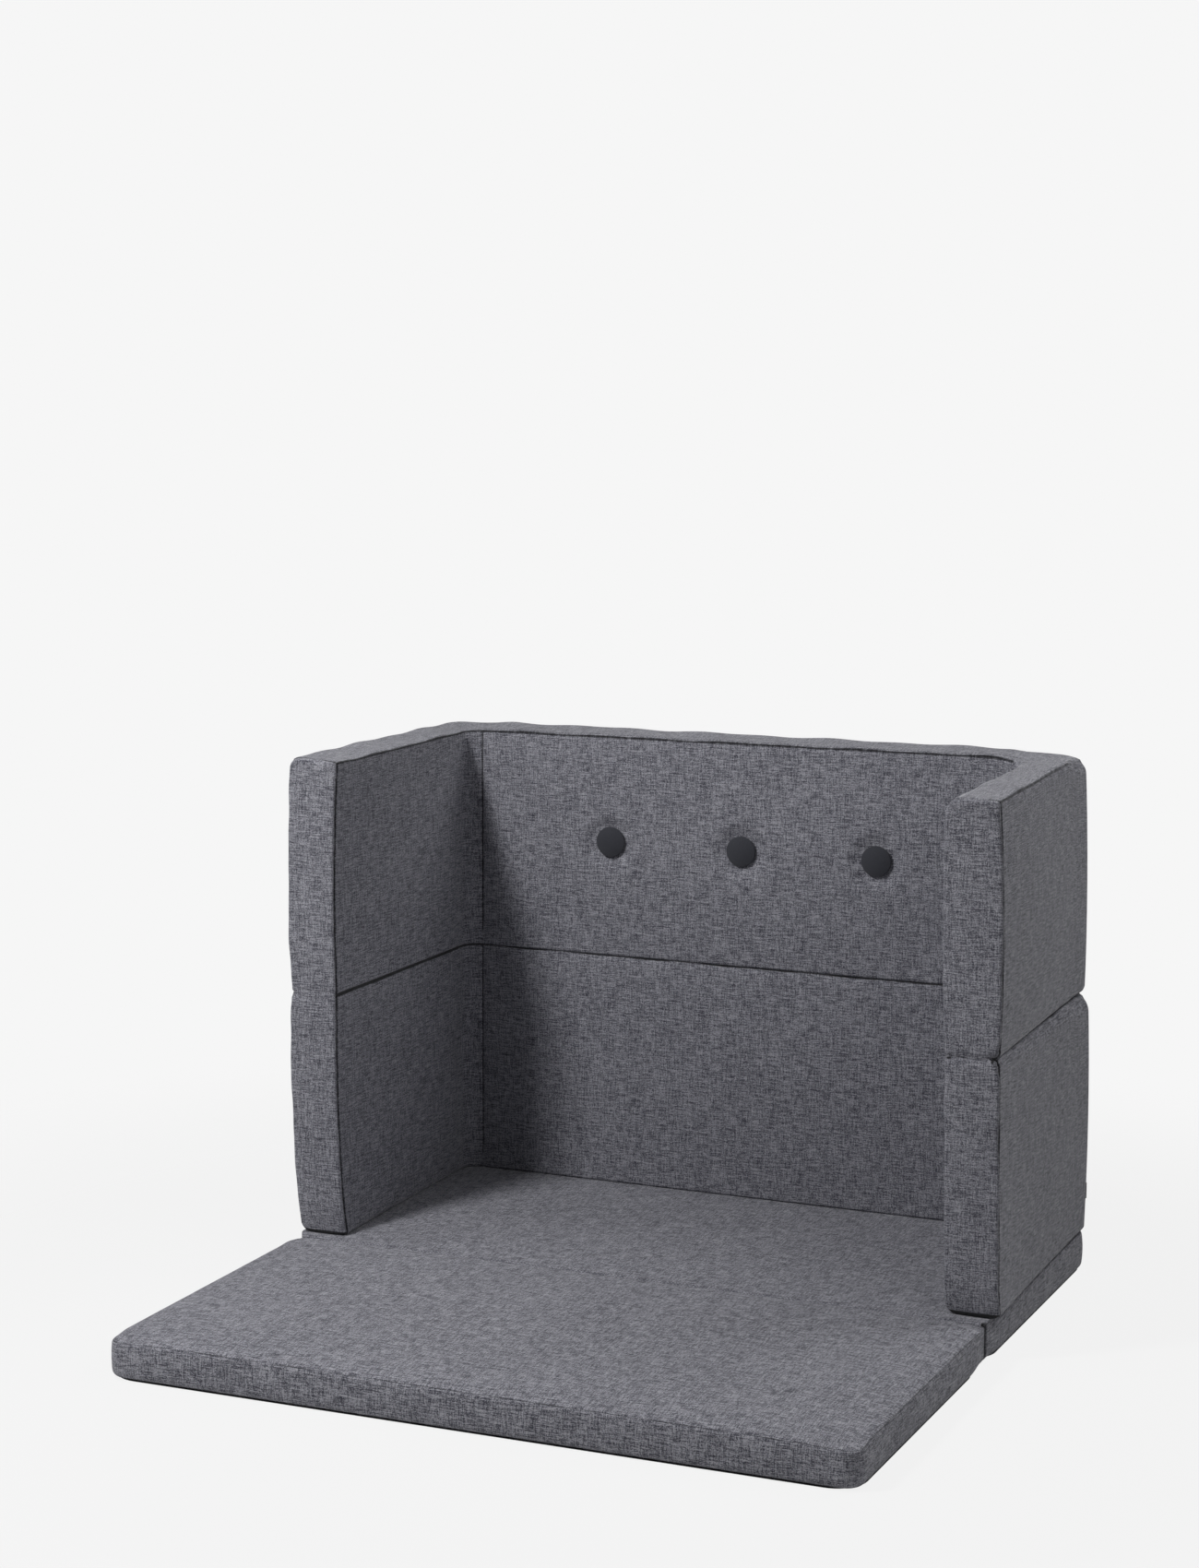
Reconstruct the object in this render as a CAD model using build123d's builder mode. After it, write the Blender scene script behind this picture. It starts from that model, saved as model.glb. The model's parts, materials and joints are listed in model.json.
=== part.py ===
from build123d import *
from dataclasses import dataclass, replace
import math
import os

# Flip open sofa for children: two foam mats joined at a fold, a low wall on three sides of the
# rear mat, and an equal wall above it that turns over forwards onto the front mat.
# Frame: millimetres, Z up, front towards minus Y, left and right as seen from the front.
# The origin lies on the floor under the fold between the mats, at mid width.

# Driving sizes of the whole
overall_width = 900.0
front_mat_depth = 445.0
rear_mat_depth = 445.0
mat_thickness = 50.0
arm_thickness = 62.0
back_thickness = 62.0
lower_wall_height = 304.0
arm_set_back = 14.0

# Clearances, and the overrun of cuts
fold_gap = 0.6
crease_gap = 0.6
seat_gap = 0.35
fit_gap = 0.3
flip_clearance = 5.0
cut_overrun = 10.0

# Soft form of the cushions
front_mat_crown = 3.0
rear_mat_crown = 1.5
mat_side_bow = 1.5
arm_outer_bow = 5.0
arm_inner_bow = 4.0
back_inner_bow = 5.0
outer_corner_radius = 18.0
arm_corner_radius = 6.0
butt_corner_radius = 3.0
mat_bottom_radius = 8.0
mat_top_radius = 5.0
wall_seam_radius = 6.0
crease_radius = 8.0
least_radius = 1.0
least_bow = 0.01
edge_steps = 3
body_steps = 6
crown_steps = 4
crown_reach_share = 0.8

# Cloth, and the sheets under the mats
cloth_thickness = 1.5
sheet_thickness = 2.0
sheet_margin = 16.0
sheet_corner_radius = 24.0

# Tufting of the upper back
button_diameter = 40.0
button_rim_height = 3.0
button_dome_height = 4.5
button_edge_radius = 1.2
button_spacing = 182.0
button_drop = 147.0
dimple_radius = 40.0
dimple_depth = 5.0
dimple_set_in = 0.2
dimple_floor_radius = 21.0
twine_diameter = 2.0
twine_hole_diameter = 3.2
anchor_diameter = 26.0
anchor_thickness = 2.5

# Cloth hinges at the front of the arms
hinge_flap_height = 22.0
hinge_flap_thickness = 1.0
hinge_flap_inset = 5.0

# Zips: a tape with its coil and end stops, and a slider without a pull
back_zip_end_inset = 130.0
side_zip_end_inset = 55.0
tape_width = 24.0
tape_thickness = 0.9
tape_sink = 0.3
coil_width = 6.0
coil_height = 1.8
stop_length = 3.0
stop_width = 7.0
stop_height = 2.6
slider_length = 11.0
slider_width = 9.6
slider_roof = 1.4
slider_corner_radius = 1.5
bridge_length = 7.0
bridge_width = 3.0
bridge_height = 2.0
bridge_hole_length = 4.0
bridge_hole_height = 1.1
wall_zip_height = 36.0

# Plain tab in the seam of the rear right corner
tab_reach = 8.0
tab_height = 20.0
tab_thickness = 1.2
tab_lift = 36.0

os.makedirs("parts", exist_ok=True)


def crown_rise(crown, distance, half_run, edge_radius):
    """Height of a crown above the edge of its cushion, at a distance in from that edge."""
    share = min((distance - edge_radius) / (half_run - edge_radius), 1)
    return crown * (1 - (1 - share) ** 2)


# Places worked out from the sizes
half_width = overall_width / 2
upper_wall_height = lower_wall_height - flip_clearance
arm_inner_x = half_width - arm_thickness
back_inner_y = rear_mat_depth - back_thickness
widest_wall = max(arm_thickness, back_thickness)
rise_under_wall = crown_rise(rear_mat_crown, widest_wall, rear_mat_depth / 2, mat_top_radius)
wall_bottom = mat_thickness + rise_under_wall + seat_gap
crease_bottom = wall_bottom + lower_wall_height
crease_top = crease_bottom + crease_gap
upper_top = crease_top + upper_wall_height
back_bow_at_arm = back_inner_bow * (1 - (arm_inner_x / half_width) ** 2)
arm_back_y = back_inner_y - back_bow_at_arm - seat_gap
core_inset = cloth_thickness + fit_gap
flip_axis_y = arm_set_back - hinge_flap_thickness - fit_gap / 2
flip_axis_z = (crease_bottom + crease_top) / 2
button_z = upper_top - button_drop
button_height_share = 1 - ((button_z - (crease_top + upper_top) / 2) / (upper_wall_height / 2)) ** 2


def dimple_rim_y(place):
    """Where a dimple's rim lies, just behind the bowed front face of the upper back."""
    bow = back_inner_bow * button_height_share * (1 - (place / half_width) ** 2)
    return back_inner_y - bow + dimple_set_in


@dataclass(frozen=True)
class Cushion:
    """A boxed cushion: its box, its upright corner radii, and how its sides bow and its top crowns.

    Corner radii go front left, front right, back right, back left; bows go front, right, back, left.
    """

    left: float
    right: float
    front: float
    back: float
    bottom: float
    top: float
    corner_radii: tuple
    bows: tuple
    bottom_radius: float
    top_radius: float
    crown: float = 0.0
    tuft_places: tuple = ()

    def shrunk(self, inset):
        """The same cushion with every face moved in by the inset."""
        return replace(
            self,
            left=self.left + inset,
            right=self.right - inset,
            front=self.front + inset,
            back=self.back - inset,
            bottom=self.bottom + inset,
            top=self.top - inset,
            corner_radii=tuple(max(radius - inset, least_radius) for radius in self.corner_radii),
            bottom_radius=max(self.bottom_radius - inset, least_radius),
            top_radius=max(self.top_radius - inset, least_radius),
        )

    def upright_profile(self):
        """Height, inset and bow share of each outline, from the bottom up to the top of the crown."""
        low = self.bottom + self.bottom_radius
        high = self.top - self.top_radius
        stations = []
        for step in range(edge_steps + 1):
            turn = math.radians(90 * step / edge_steps)
            inset = self.bottom_radius * (1 - math.sin(turn))
            stations.append((low - self.bottom_radius * math.cos(turn), inset))
        for step in range(1, body_steps):
            stations.append((low + (high - low) * step / body_steps, 0))
        for step in range(edge_steps + 1):
            turn = math.radians(90 * step / edge_steps)
            inset = self.top_radius * (1 - math.cos(turn))
            stations.append((high + self.top_radius * math.sin(turn), inset))
        middle = (self.bottom + self.top) / 2
        half_height = (self.top - self.bottom) / 2
        profile = [(height, inset, 1 - ((height - middle) / half_height) ** 2) for height, inset in stations]
        if self.crown:
            half_depth = (self.back - self.front) / 2
            for step in range(1, crown_steps + 1):
                share = crown_reach_share * step / crown_steps
                inset = self.top_radius + share * (half_depth - self.top_radius)
                rise = crown_rise(self.crown, inset, half_depth, self.top_radius)
                profile.append((self.top + rise, inset, 0))
        return profile


def plan_outline(cushion, height, bow_share):
    """Face at a height: the box seen from above, with arcs at its corners and bowed sides."""
    corners = (
        Vector(cushion.left, cushion.front),
        Vector(cushion.right, cushion.front),
        Vector(cushion.right, cushion.back),
        Vector(cushion.left, cushion.back),
    )
    runs = (Vector(1, 0), Vector(0, 1), Vector(-1, 0), Vector(0, -1))
    outwards = (Vector(0, -1), Vector(1, 0), Vector(0, 1), Vector(-1, 0))
    with BuildSketch(Plane.XY.offset(height)) as outline:
        with BuildLine():
            for side, corner in enumerate(corners):
                following = (side + 1) % len(corners)
                radius = cushion.corner_radii[following]
                start = corner + runs[side] * cushion.corner_radii[side]
                end = corners[following] - runs[side] * radius
                turned = corners[following] + runs[following] * radius
                centre = turned - runs[side] * radius
                bow = cushion.bows[side] * bow_share
                if bow > least_bow:
                    ThreePointArc(start, (start + end) / 2 + outwards[side] * bow, end)
                else:
                    Line(start, end)
                halfway = (outwards[side] + runs[side]) * (radius * math.sqrt(1 / 2))
                ThreePointArc(end, centre + halfway, turned)
        make_face()
    return outline.sketch


def dimple_form(inset):
    """Round hollow with a flat floor and an S-shaped side, that sinks a button into a face."""
    floor_radius = dimple_floor_radius + inset
    rim_radius = dimple_radius + inset
    middle = ((floor_radius + rim_radius) / 2, -dimple_depth / 2)
    with BuildPart() as dimple:
        with BuildSketch(Plane.XZ):
            with BuildLine():
                Polyline((floor_radius, -dimple_depth), (0, -dimple_depth), (0, cut_overrun))
                TangentArc((floor_radius, -dimple_depth), middle, tangent=(1, 0))
                TangentArc((rim_radius, 0), middle, tangent=(-1, 0))
                Polyline((rim_radius, 0), (rim_radius, cut_overrun), (0, cut_overrun))
            make_face()
        revolve(axis=Axis.Z)
    return dimple.part


def cushion_form(cushion, inset=0.0):
    """Solid of a cushion, or of the space inside it when its faces are moved in."""
    block = cushion.shrunk(inset)
    outlines = [
        plan_outline(block.shrunk(step_in), height, bow_share)
        for height, step_in, bow_share in block.upright_profile()
    ]
    with BuildPart() as form:
        loft(outlines, ruled=True)
        for place in block.tuft_places:
            with Locations(facing_front(place, dimple_rim_y(place) + inset, button_z)):
                add(dimple_form(inset), mode=Mode.SUBTRACT)
    return form.part


def facing_front(across, depth, height):
    """Upright plane at a place, whose normal points to the front."""
    return Plane(origin=(across, depth, height), x_dir=(1, 0, 0), z_dir=(0, -1, 0))


def facing_back(height):
    """Upright plane on the rear face at mid width, whose normal points to the back."""
    return Plane(origin=(0, rear_mat_depth, height), x_dir=(-1, 0, 0), z_dir=(0, 1, 0))


# Cushions: two mats, and a lower and an upper wall of two arms and a back each
mat_bottom = sheet_thickness
mat_middle = (mat_bottom + mat_thickness) / 2
left_arm_bows = (0, arm_inner_bow, 0, arm_outer_bow)
right_arm_bows = (0, arm_outer_bow, 0, arm_inner_bow)
arm_corner_radii = (arm_corner_radius, arm_corner_radius, butt_corner_radius, butt_corner_radius)
back_corner_radii = (butt_corner_radius, butt_corner_radius, outer_corner_radius, outer_corner_radius)
tuft_places = (-button_spacing, 0, button_spacing)
cushions = {
    "front_mat": Cushion(
        left=-half_width,
        right=half_width,
        front=-front_mat_depth,
        back=-fold_gap / 2,
        bottom=mat_bottom,
        top=mat_thickness,
        corner_radii=(outer_corner_radius, outer_corner_radius, butt_corner_radius, butt_corner_radius),
        bows=(mat_side_bow, mat_side_bow, 0, 0),
        bottom_radius=mat_bottom_radius,
        top_radius=mat_top_radius,
        crown=front_mat_crown,
    ),
    "rear_mat": Cushion(
        left=-half_width,
        right=half_width,
        front=fold_gap / 2,
        back=rear_mat_depth,
        bottom=mat_bottom,
        top=mat_thickness,
        corner_radii=back_corner_radii,
        bows=(0, mat_side_bow, 0, mat_side_bow),
        bottom_radius=mat_bottom_radius,
        top_radius=mat_top_radius,
        crown=rear_mat_crown,
    ),
}
for level, bottom, top, bottom_radius, top_radius, places in (
    ("lower", wall_bottom, crease_bottom, wall_seam_radius, crease_radius, ()),
    ("upper", crease_top, upper_top, crease_radius, wall_seam_radius, tuft_places),
):
    left_arm = Cushion(
        left=-half_width,
        right=-arm_inner_x,
        front=arm_set_back,
        back=arm_back_y,
        bottom=bottom,
        top=top,
        corner_radii=arm_corner_radii,
        bows=left_arm_bows,
        bottom_radius=bottom_radius,
        top_radius=top_radius,
    )
    cushions[f"left_{level}_arm"] = left_arm
    cushions[f"right_{level}_arm"] = replace(left_arm, left=arm_inner_x, right=half_width, bows=right_arm_bows)
    cushions[f"{level}_back"] = Cushion(
        left=-half_width,
        right=half_width,
        front=back_inner_y,
        back=rear_mat_depth,
        bottom=bottom,
        top=top,
        corner_radii=back_corner_radii,
        bows=(back_inner_bow, 0, 0, 0),
        bottom_radius=bottom_radius,
        top_radius=top_radius,
        tuft_places=places,
    )

# Zips: the plane of each on the face that it closes, along the slider's way, and its length
back_zip_length = overall_width - 2 * back_zip_end_inset
side_zip_length = front_mat_depth - 2 * side_zip_end_inset
front_mat_side = Plane(origin=(-half_width, -front_mat_depth / 2, mat_middle), x_dir=(0, -1, 0), z_dir=(-1, 0, 0))
zips = {
    "front_mat": (front_mat_side, side_zip_length),
    "rear_mat": (facing_back(mat_middle), back_zip_length),
    "lower_back": (facing_back(wall_bottom + wall_zip_height), back_zip_length),
    "upper_back": (facing_back(crease_top + wall_zip_height), back_zip_length),
}

# Covers and foam of every cushion
for name, cushion in cushions.items():
    with BuildPart() as cover:
        add(cushion_form(cushion))
        add(cushion_form(cushion, cloth_thickness), mode=Mode.SUBTRACT)
        if name in zips:
            face, zip_length = zips[name]
            with BuildSketch(face.offset(cut_overrun)):
                Rectangle(zip_length + 2 * fit_gap, tape_width + 2 * fit_gap)
            extrude(amount=-cut_overrun - core_inset, mode=Mode.SUBTRACT)
        for place in cushion.tuft_places:
            with BuildSketch(facing_front(place, back_inner_y - back_inner_bow, button_z)):
                Circle(twine_hole_diameter / 2)
            extrude(amount=-back_thickness / 2, mode=Mode.SUBTRACT)
    cover.part.label = f"{name}_cover"
    export_step(cover.part, f"parts/{name}_cover.step")

    with BuildPart() as foam:
        add(cushion_form(cushion, core_inset))
        for place in cushion.tuft_places:
            with BuildSketch(facing_front(place, back_inner_y - back_inner_bow, button_z)):
                Circle(twine_hole_diameter / 2)
            extrude(amount=-back_thickness - back_inner_bow, mode=Mode.SUBTRACT)
            with BuildSketch(facing_front(place, rear_mat_depth - core_inset - anchor_thickness, button_z)):
                Circle(anchor_diameter / 2 + fit_gap)
            extrude(amount=-anchor_thickness - cut_overrun, mode=Mode.SUBTRACT)
    foam.part.label = f"{name}_foam"
    export_step(foam.part, f"parts/{name}_foam.step")

# Dark non-slip sheets under the mats
for name in ("front_mat", "rear_mat"):
    mat = cushions[name]
    centre = ((mat.left + mat.right) / 2, (mat.front + mat.back) / 2)
    with BuildPart() as sheet:
        with BuildSketch():
            with Locations(centre):
                RectangleRounded(
                    mat.right - mat.left - 2 * sheet_margin,
                    mat.back - mat.front - 2 * sheet_margin,
                    sheet_corner_radius,
                )
        extrude(amount=sheet_thickness)
    sheet.part.label = f"{name}_non_slip_sheet"
    export_step(sheet.part, f"parts/{name}_non_slip_sheet.step")

# Cloth hinges: the front panel of each arm runs across the crease, and parts at the turning line
flap_width = arm_thickness - 2 * hinge_flap_inset
for side, across in (("left", -half_width + arm_thickness / 2), ("right", half_width - arm_thickness / 2)):
    for level, direction in (("lower", -1), ("upper", 1)):
        middle_z = flip_axis_z + direction * (hinge_flap_height + fit_gap) / 2
        with BuildPart() as flap:
            with BuildSketch(facing_front(across, arm_set_back, middle_z)):
                Rectangle(flap_width, hinge_flap_height)
            extrude(amount=hinge_flap_thickness)
        flap.part.label = f"{side}_hinge_{level}_flap"
        export_step(flap.part, f"parts/{side}_hinge_{level}_flap.step")

# Buttons in the dimples of the upper back
button_radius = button_diameter / 2
for side, place in zip(("left", "middle", "right"), tuft_places):
    seat_y = dimple_rim_y(place) + dimple_depth - fit_gap
    with BuildPart() as button:
        with BuildSketch(Plane(origin=(place, seat_y, button_z), x_dir=(1, 0, 0), z_dir=(0, 0, 1))):
            with BuildLine():
                back_edge = (button_radius - button_edge_radius, 0)
                rim_back = (button_radius, -button_edge_radius)
                rim_front = (button_radius, -button_rim_height)
                crest = (0, -button_rim_height - button_dome_height)
                Polyline(crest, (0, 0), back_edge)
                TangentArc(back_edge, rim_back, tangent=(1, 0))
                Line(rim_back, rim_front)
                TangentArc(crest, rim_front, tangent=(1, 0))
            make_face()
        revolve(axis=Axis(origin=(place, seat_y, button_z), direction=(0, 1, 0)))
    button.part.label = f"{side}_button"
    export_step(button.part, f"parts/{side}_button.step")

# Twine from each button to its anchor disc behind the foam
anchor_face_y = rear_mat_depth - core_inset - anchor_thickness
with BuildPart() as twine:
    for place in tuft_places:
        seat_y = dimple_rim_y(place) + dimple_depth - fit_gap
        with BuildSketch(facing_front(place, anchor_face_y, button_z)):
            Circle(twine_diameter / 2)
        extrude(amount=anchor_face_y - seat_y)
twine.part.label = "tufting_twine"
export_step(twine.part, "parts/tufting_twine.step")

with BuildPart() as anchors:
    for place in tuft_places:
        with BuildSketch(facing_front(place, anchor_face_y, button_z)):
            Circle(anchor_diameter / 2)
        extrude(amount=-anchor_thickness)
anchors.part.label = "tufting_anchor_discs"
export_step(anchors.part, "parts/tufting_anchor_discs.step")

# Zips and their sliders, closed at the start of the slider's way
slider_base = fit_gap - tape_sink
channel_top = coil_height - tape_sink + fit_gap
roof_top = channel_top + slider_roof
for name, (face, zip_length) in zips.items():
    with BuildPart() as chain:
        with BuildSketch(face.offset(-tape_sink - tape_thickness)):
            Rectangle(zip_length, tape_width)
        extrude(amount=tape_thickness)
        with BuildSketch(face.offset(-tape_sink)):
            Rectangle(zip_length, coil_width)
        extrude(amount=coil_height)
        with BuildSketch(face.offset(-tape_sink)):
            with GridLocations(zip_length - stop_length, 0, 2, 1):
                Rectangle(stop_length, stop_width)
        extrude(amount=stop_height)
    chain.part.label = f"{name}_zip"
    export_step(chain.part, f"parts/{name}_zip.step")

    start = -zip_length / 2 + stop_length + fit_gap + slider_length / 2
    with BuildPart() as slider:
        with BuildSketch(face.offset(slider_base)):
            with Locations((start, 0)):
                RectangleRounded(slider_length, slider_width, slider_corner_radius)
        extrude(amount=roof_top - slider_base)
        with BuildSketch(face.offset(roof_top)):
            with Locations((start, 0)):
                Rectangle(bridge_length, bridge_width)
        extrude(amount=bridge_height)
        with BuildSketch(face.offset(roof_top)):
            with Locations((start, 0)):
                Rectangle(bridge_hole_length, bridge_width)
        extrude(amount=bridge_hole_height, mode=Mode.SUBTRACT)
        with BuildSketch(face.offset(slider_base)):
            with Locations((start, 0)):
                Rectangle(slider_length, coil_width + 2 * fit_gap)
        extrude(amount=channel_top - slider_base, mode=Mode.SUBTRACT)
    slider.part.label = f"{name}_zip_slider"
    export_step(slider.part, f"parts/{name}_zip_slider.step")
    print(name, "slider travel", zip_length - 2 * stop_length - 2 * fit_gap - slider_length)

# Tab of plain tape that stands out of the corner seam of the lower back
seam_centre = half_width - outer_corner_radius
tab_start = outer_corner_radius + fit_gap / 2
diagonal = math.sqrt(1 / 2)
tab_plane = Plane(
    origin=(seam_centre, rear_mat_depth - outer_corner_radius, mat_thickness + tab_lift),
    x_dir=(diagonal, diagonal, 0),
    z_dir=(0, 0, 1),
)
with BuildPart() as tab:
    with BuildSketch(tab_plane):
        with Locations((tab_start + tab_reach / 2, 0)):
            Rectangle(tab_reach, tab_thickness)
    extrude(amount=tab_height)
tab.part.label = "seam_tab"
export_step(tab.part, "parts/seam_tab.step")

print("flip axis", flip_axis_y, flip_axis_z)
print("wall bottom", wall_bottom, "crease", crease_bottom, crease_top, "top", upper_top)
print("arm back", arm_back_y, "buttons", button_z, [dimple_rim_y(place) for place in tuft_places])
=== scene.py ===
import json
import logging
import math
from dataclasses import dataclass, field
from enum import Enum

import bmesh
import bpy
import numpy as np
from bpy.types import ID, Material, Mesh, Node, NodeSocket, NodeTree, Object
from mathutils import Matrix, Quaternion, Vector


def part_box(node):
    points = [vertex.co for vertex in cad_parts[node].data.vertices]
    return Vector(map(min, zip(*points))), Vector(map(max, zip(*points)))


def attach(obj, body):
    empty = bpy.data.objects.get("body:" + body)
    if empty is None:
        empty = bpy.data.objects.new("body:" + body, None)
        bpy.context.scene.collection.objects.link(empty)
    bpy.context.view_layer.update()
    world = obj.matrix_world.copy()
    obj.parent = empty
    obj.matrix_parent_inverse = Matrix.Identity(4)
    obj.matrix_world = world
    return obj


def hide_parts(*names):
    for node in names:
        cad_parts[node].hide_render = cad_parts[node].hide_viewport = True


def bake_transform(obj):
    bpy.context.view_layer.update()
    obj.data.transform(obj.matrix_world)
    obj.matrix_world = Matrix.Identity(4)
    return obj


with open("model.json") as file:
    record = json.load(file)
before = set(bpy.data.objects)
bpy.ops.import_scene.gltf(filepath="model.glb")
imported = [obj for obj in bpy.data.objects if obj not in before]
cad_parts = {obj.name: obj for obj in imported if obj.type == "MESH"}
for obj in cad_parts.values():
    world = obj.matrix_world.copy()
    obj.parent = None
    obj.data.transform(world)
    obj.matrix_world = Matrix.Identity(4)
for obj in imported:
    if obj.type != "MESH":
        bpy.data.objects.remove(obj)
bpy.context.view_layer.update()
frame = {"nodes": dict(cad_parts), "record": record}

# Dressed flip open sofa: fitted covers in melange cloth over foam, front panels that bend over the
# crease, tufted buttons, zips, stitches and non-slip sheets. Metres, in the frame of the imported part.

MM = 0.001
Array = np.ndarray
# Seam distance in millimetres from which the cloth has no painted seam line and no painted shade
PLAIN_SEAM = 9.0
log = logging.getLogger("flip_open_sofa")


class Slot(Enum):
    """Material slots of the record."""

    CLOTH = "melange_cloth"
    FOAM = "foam"
    NON_SLIP = "non_slip_cloth"
    BUTTON = "button_cloth"
    TWINE = "twine"
    ANCHOR = "anchor_plastic"
    TAPE = "zip_tape"
    SLIDER = "slider_metal"
    TAB = "tab_tape"


class Body(Enum):
    """Moving bodies that pieces ride on."""

    BASE = "rear_base"
    MAT = "front_mat"
    UPPER = "upper_surround"


def linear(colour: str) -> tuple[float, float, float, float]:
    """Turns an sRGB hex colour into linear red, green, blue and alpha.

    Args:
        colour: Six hex digits, with or without a leading hash.

    Returns:
        Linear values from 0 to 1.
    """
    digits = colour.lstrip("#")
    shades = [int(digits[at:at + 2], 16) / 255 for at in (0, 2, 4)]
    return (*(s / 12.92 if s <= 0.04045 else ((s + 0.055) / 1.055) ** 2.4 for s in shades), 1.0)


def add_node(tree: NodeTree, kind: str, inputs: dict | None = None, **settings) -> Node:
    """Adds a node to a tree.

    Args:
        tree: The node tree.
        kind: The node's type name.
        inputs: Socket name or index, with a value or an output socket to link from.
        **settings: The node's own properties.

    Returns:
        The new node.
    """
    node = tree.nodes.new(kind)
    for name, value in settings.items():
        setattr(node, name, value)
    for key, value in (inputs or {}).items():
        if isinstance(value, NodeSocket):
            tree.links.new(value, node.inputs[key])
        else:
            node.inputs[key].default_value = value
    return node


def new_material(name: str) -> tuple[Material, NodeTree, Node]:
    """Makes a material with only a shader and an output.

    Args:
        name: The material's name.

    Returns:
        The material, its node tree and its Principled shader.
    """
    material = bpy.data.materials.new(name)
    material.use_nodes = True
    tree = material.node_tree
    tree.nodes.clear()
    shader = add_node(tree, "ShaderNodeBsdfPrincipled")
    add_node(tree, "ShaderNodeOutputMaterial", {"Surface": shader.outputs["BSDF"]})
    return material, tree, shader


def stretched_noise(tree: NodeTree, place: NodeSocket, across_mm: float, along_mm: float,
                    offset: float, detail: float = 2.0, turned: bool = False) -> NodeSocket:
    """Noise drawn out along one way of a cloth, like the slubs of its yarn.

    Args:
        tree: The node tree.
        place: Coordinates in metres.
        across_mm: Size of a mark across the yarn.
        along_mm: Size of a mark along the yarn.
        offset: Shift that makes each noise its own.
        detail: Octaves of the noise.
        turned: True for yarn along the second coordinate.

    Returns:
        The noise value, about 0.5.
    """
    sizes = (across_mm, along_mm) if turned else (along_mm, across_mm)
    scale = (1 / (sizes[0] * MM), 1 / (sizes[1] * MM), 1 / (along_mm * MM))
    mapping = add_node(tree, "ShaderNodeMapping",
                       {"Vector": place, "Location": (offset, -offset, offset), "Scale": scale})
    noise = add_node(tree, "ShaderNodeTexNoise",
                     {"Vector": mapping.outputs["Vector"], "Scale": 1.0, "Detail": detail, "Roughness": 0.6})
    return noise.outputs["Fac"]


def weighted_sum(tree: NodeTree, *terms: tuple[NodeSocket, float],
                 plus: float = 0.0) -> NodeSocket:
    """Adds up values of a material, each times its weight.

    Args:
        tree: The node tree.
        *terms: Each value's socket and its weight.
        plus: A number added to the sum.

    Returns:
        The sum's socket.
    """
    total: NodeSocket | float = plus
    for value, weight in terms:
        inputs = {0: value, 1: weight, 2: total}
        total = add_node(tree, "ShaderNodeMath", inputs, operation="MULTIPLY_ADD").outputs[0]
    return total


def add_ramp(tree: NodeTree, value: NodeSocket, places: tuple[float, ...],
             colours: tuple[str, ...]) -> NodeSocket:
    """Turns a value into a colour.

    Args:
        tree: The node tree.
        value: The value's socket.
        places: Where each colour lies, from 0 to 1.
        colours: The colours, as hex digits.

    Returns:
        The colour's socket.
    """
    ramp = add_node(tree, "ShaderNodeValToRGB", {"Fac": value})
    stops = ramp.color_ramp.elements
    stops[0].position, stops[1].position = places[0], places[-1]
    for place in places[1:-1]:
        stops.new(place)
    for stop, colour in zip(stops, colours):
        stop.color = linear(colour)
    return ramp.outputs["Color"]


def add_bump(tree: NodeTree, shader: Node, height: NodeSocket, strength: float,
             depth_mm: float) -> None:
    """Roughens a shader's surface by a height value."""
    bump = add_node(tree, "ShaderNodeBump", {"Height": height, "Strength": strength, "Distance": depth_mm * MM})
    tree.links.new(bump.outputs["Normal"], shader.inputs["Normal"])


def add_object(name: str, data: ID) -> Object:
    """Adds an object with its mesh, lamp or camera to the scene."""
    made = bpy.data.objects.new(name, data)
    bpy.context.scene.collection.objects.link(made)
    return made


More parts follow.
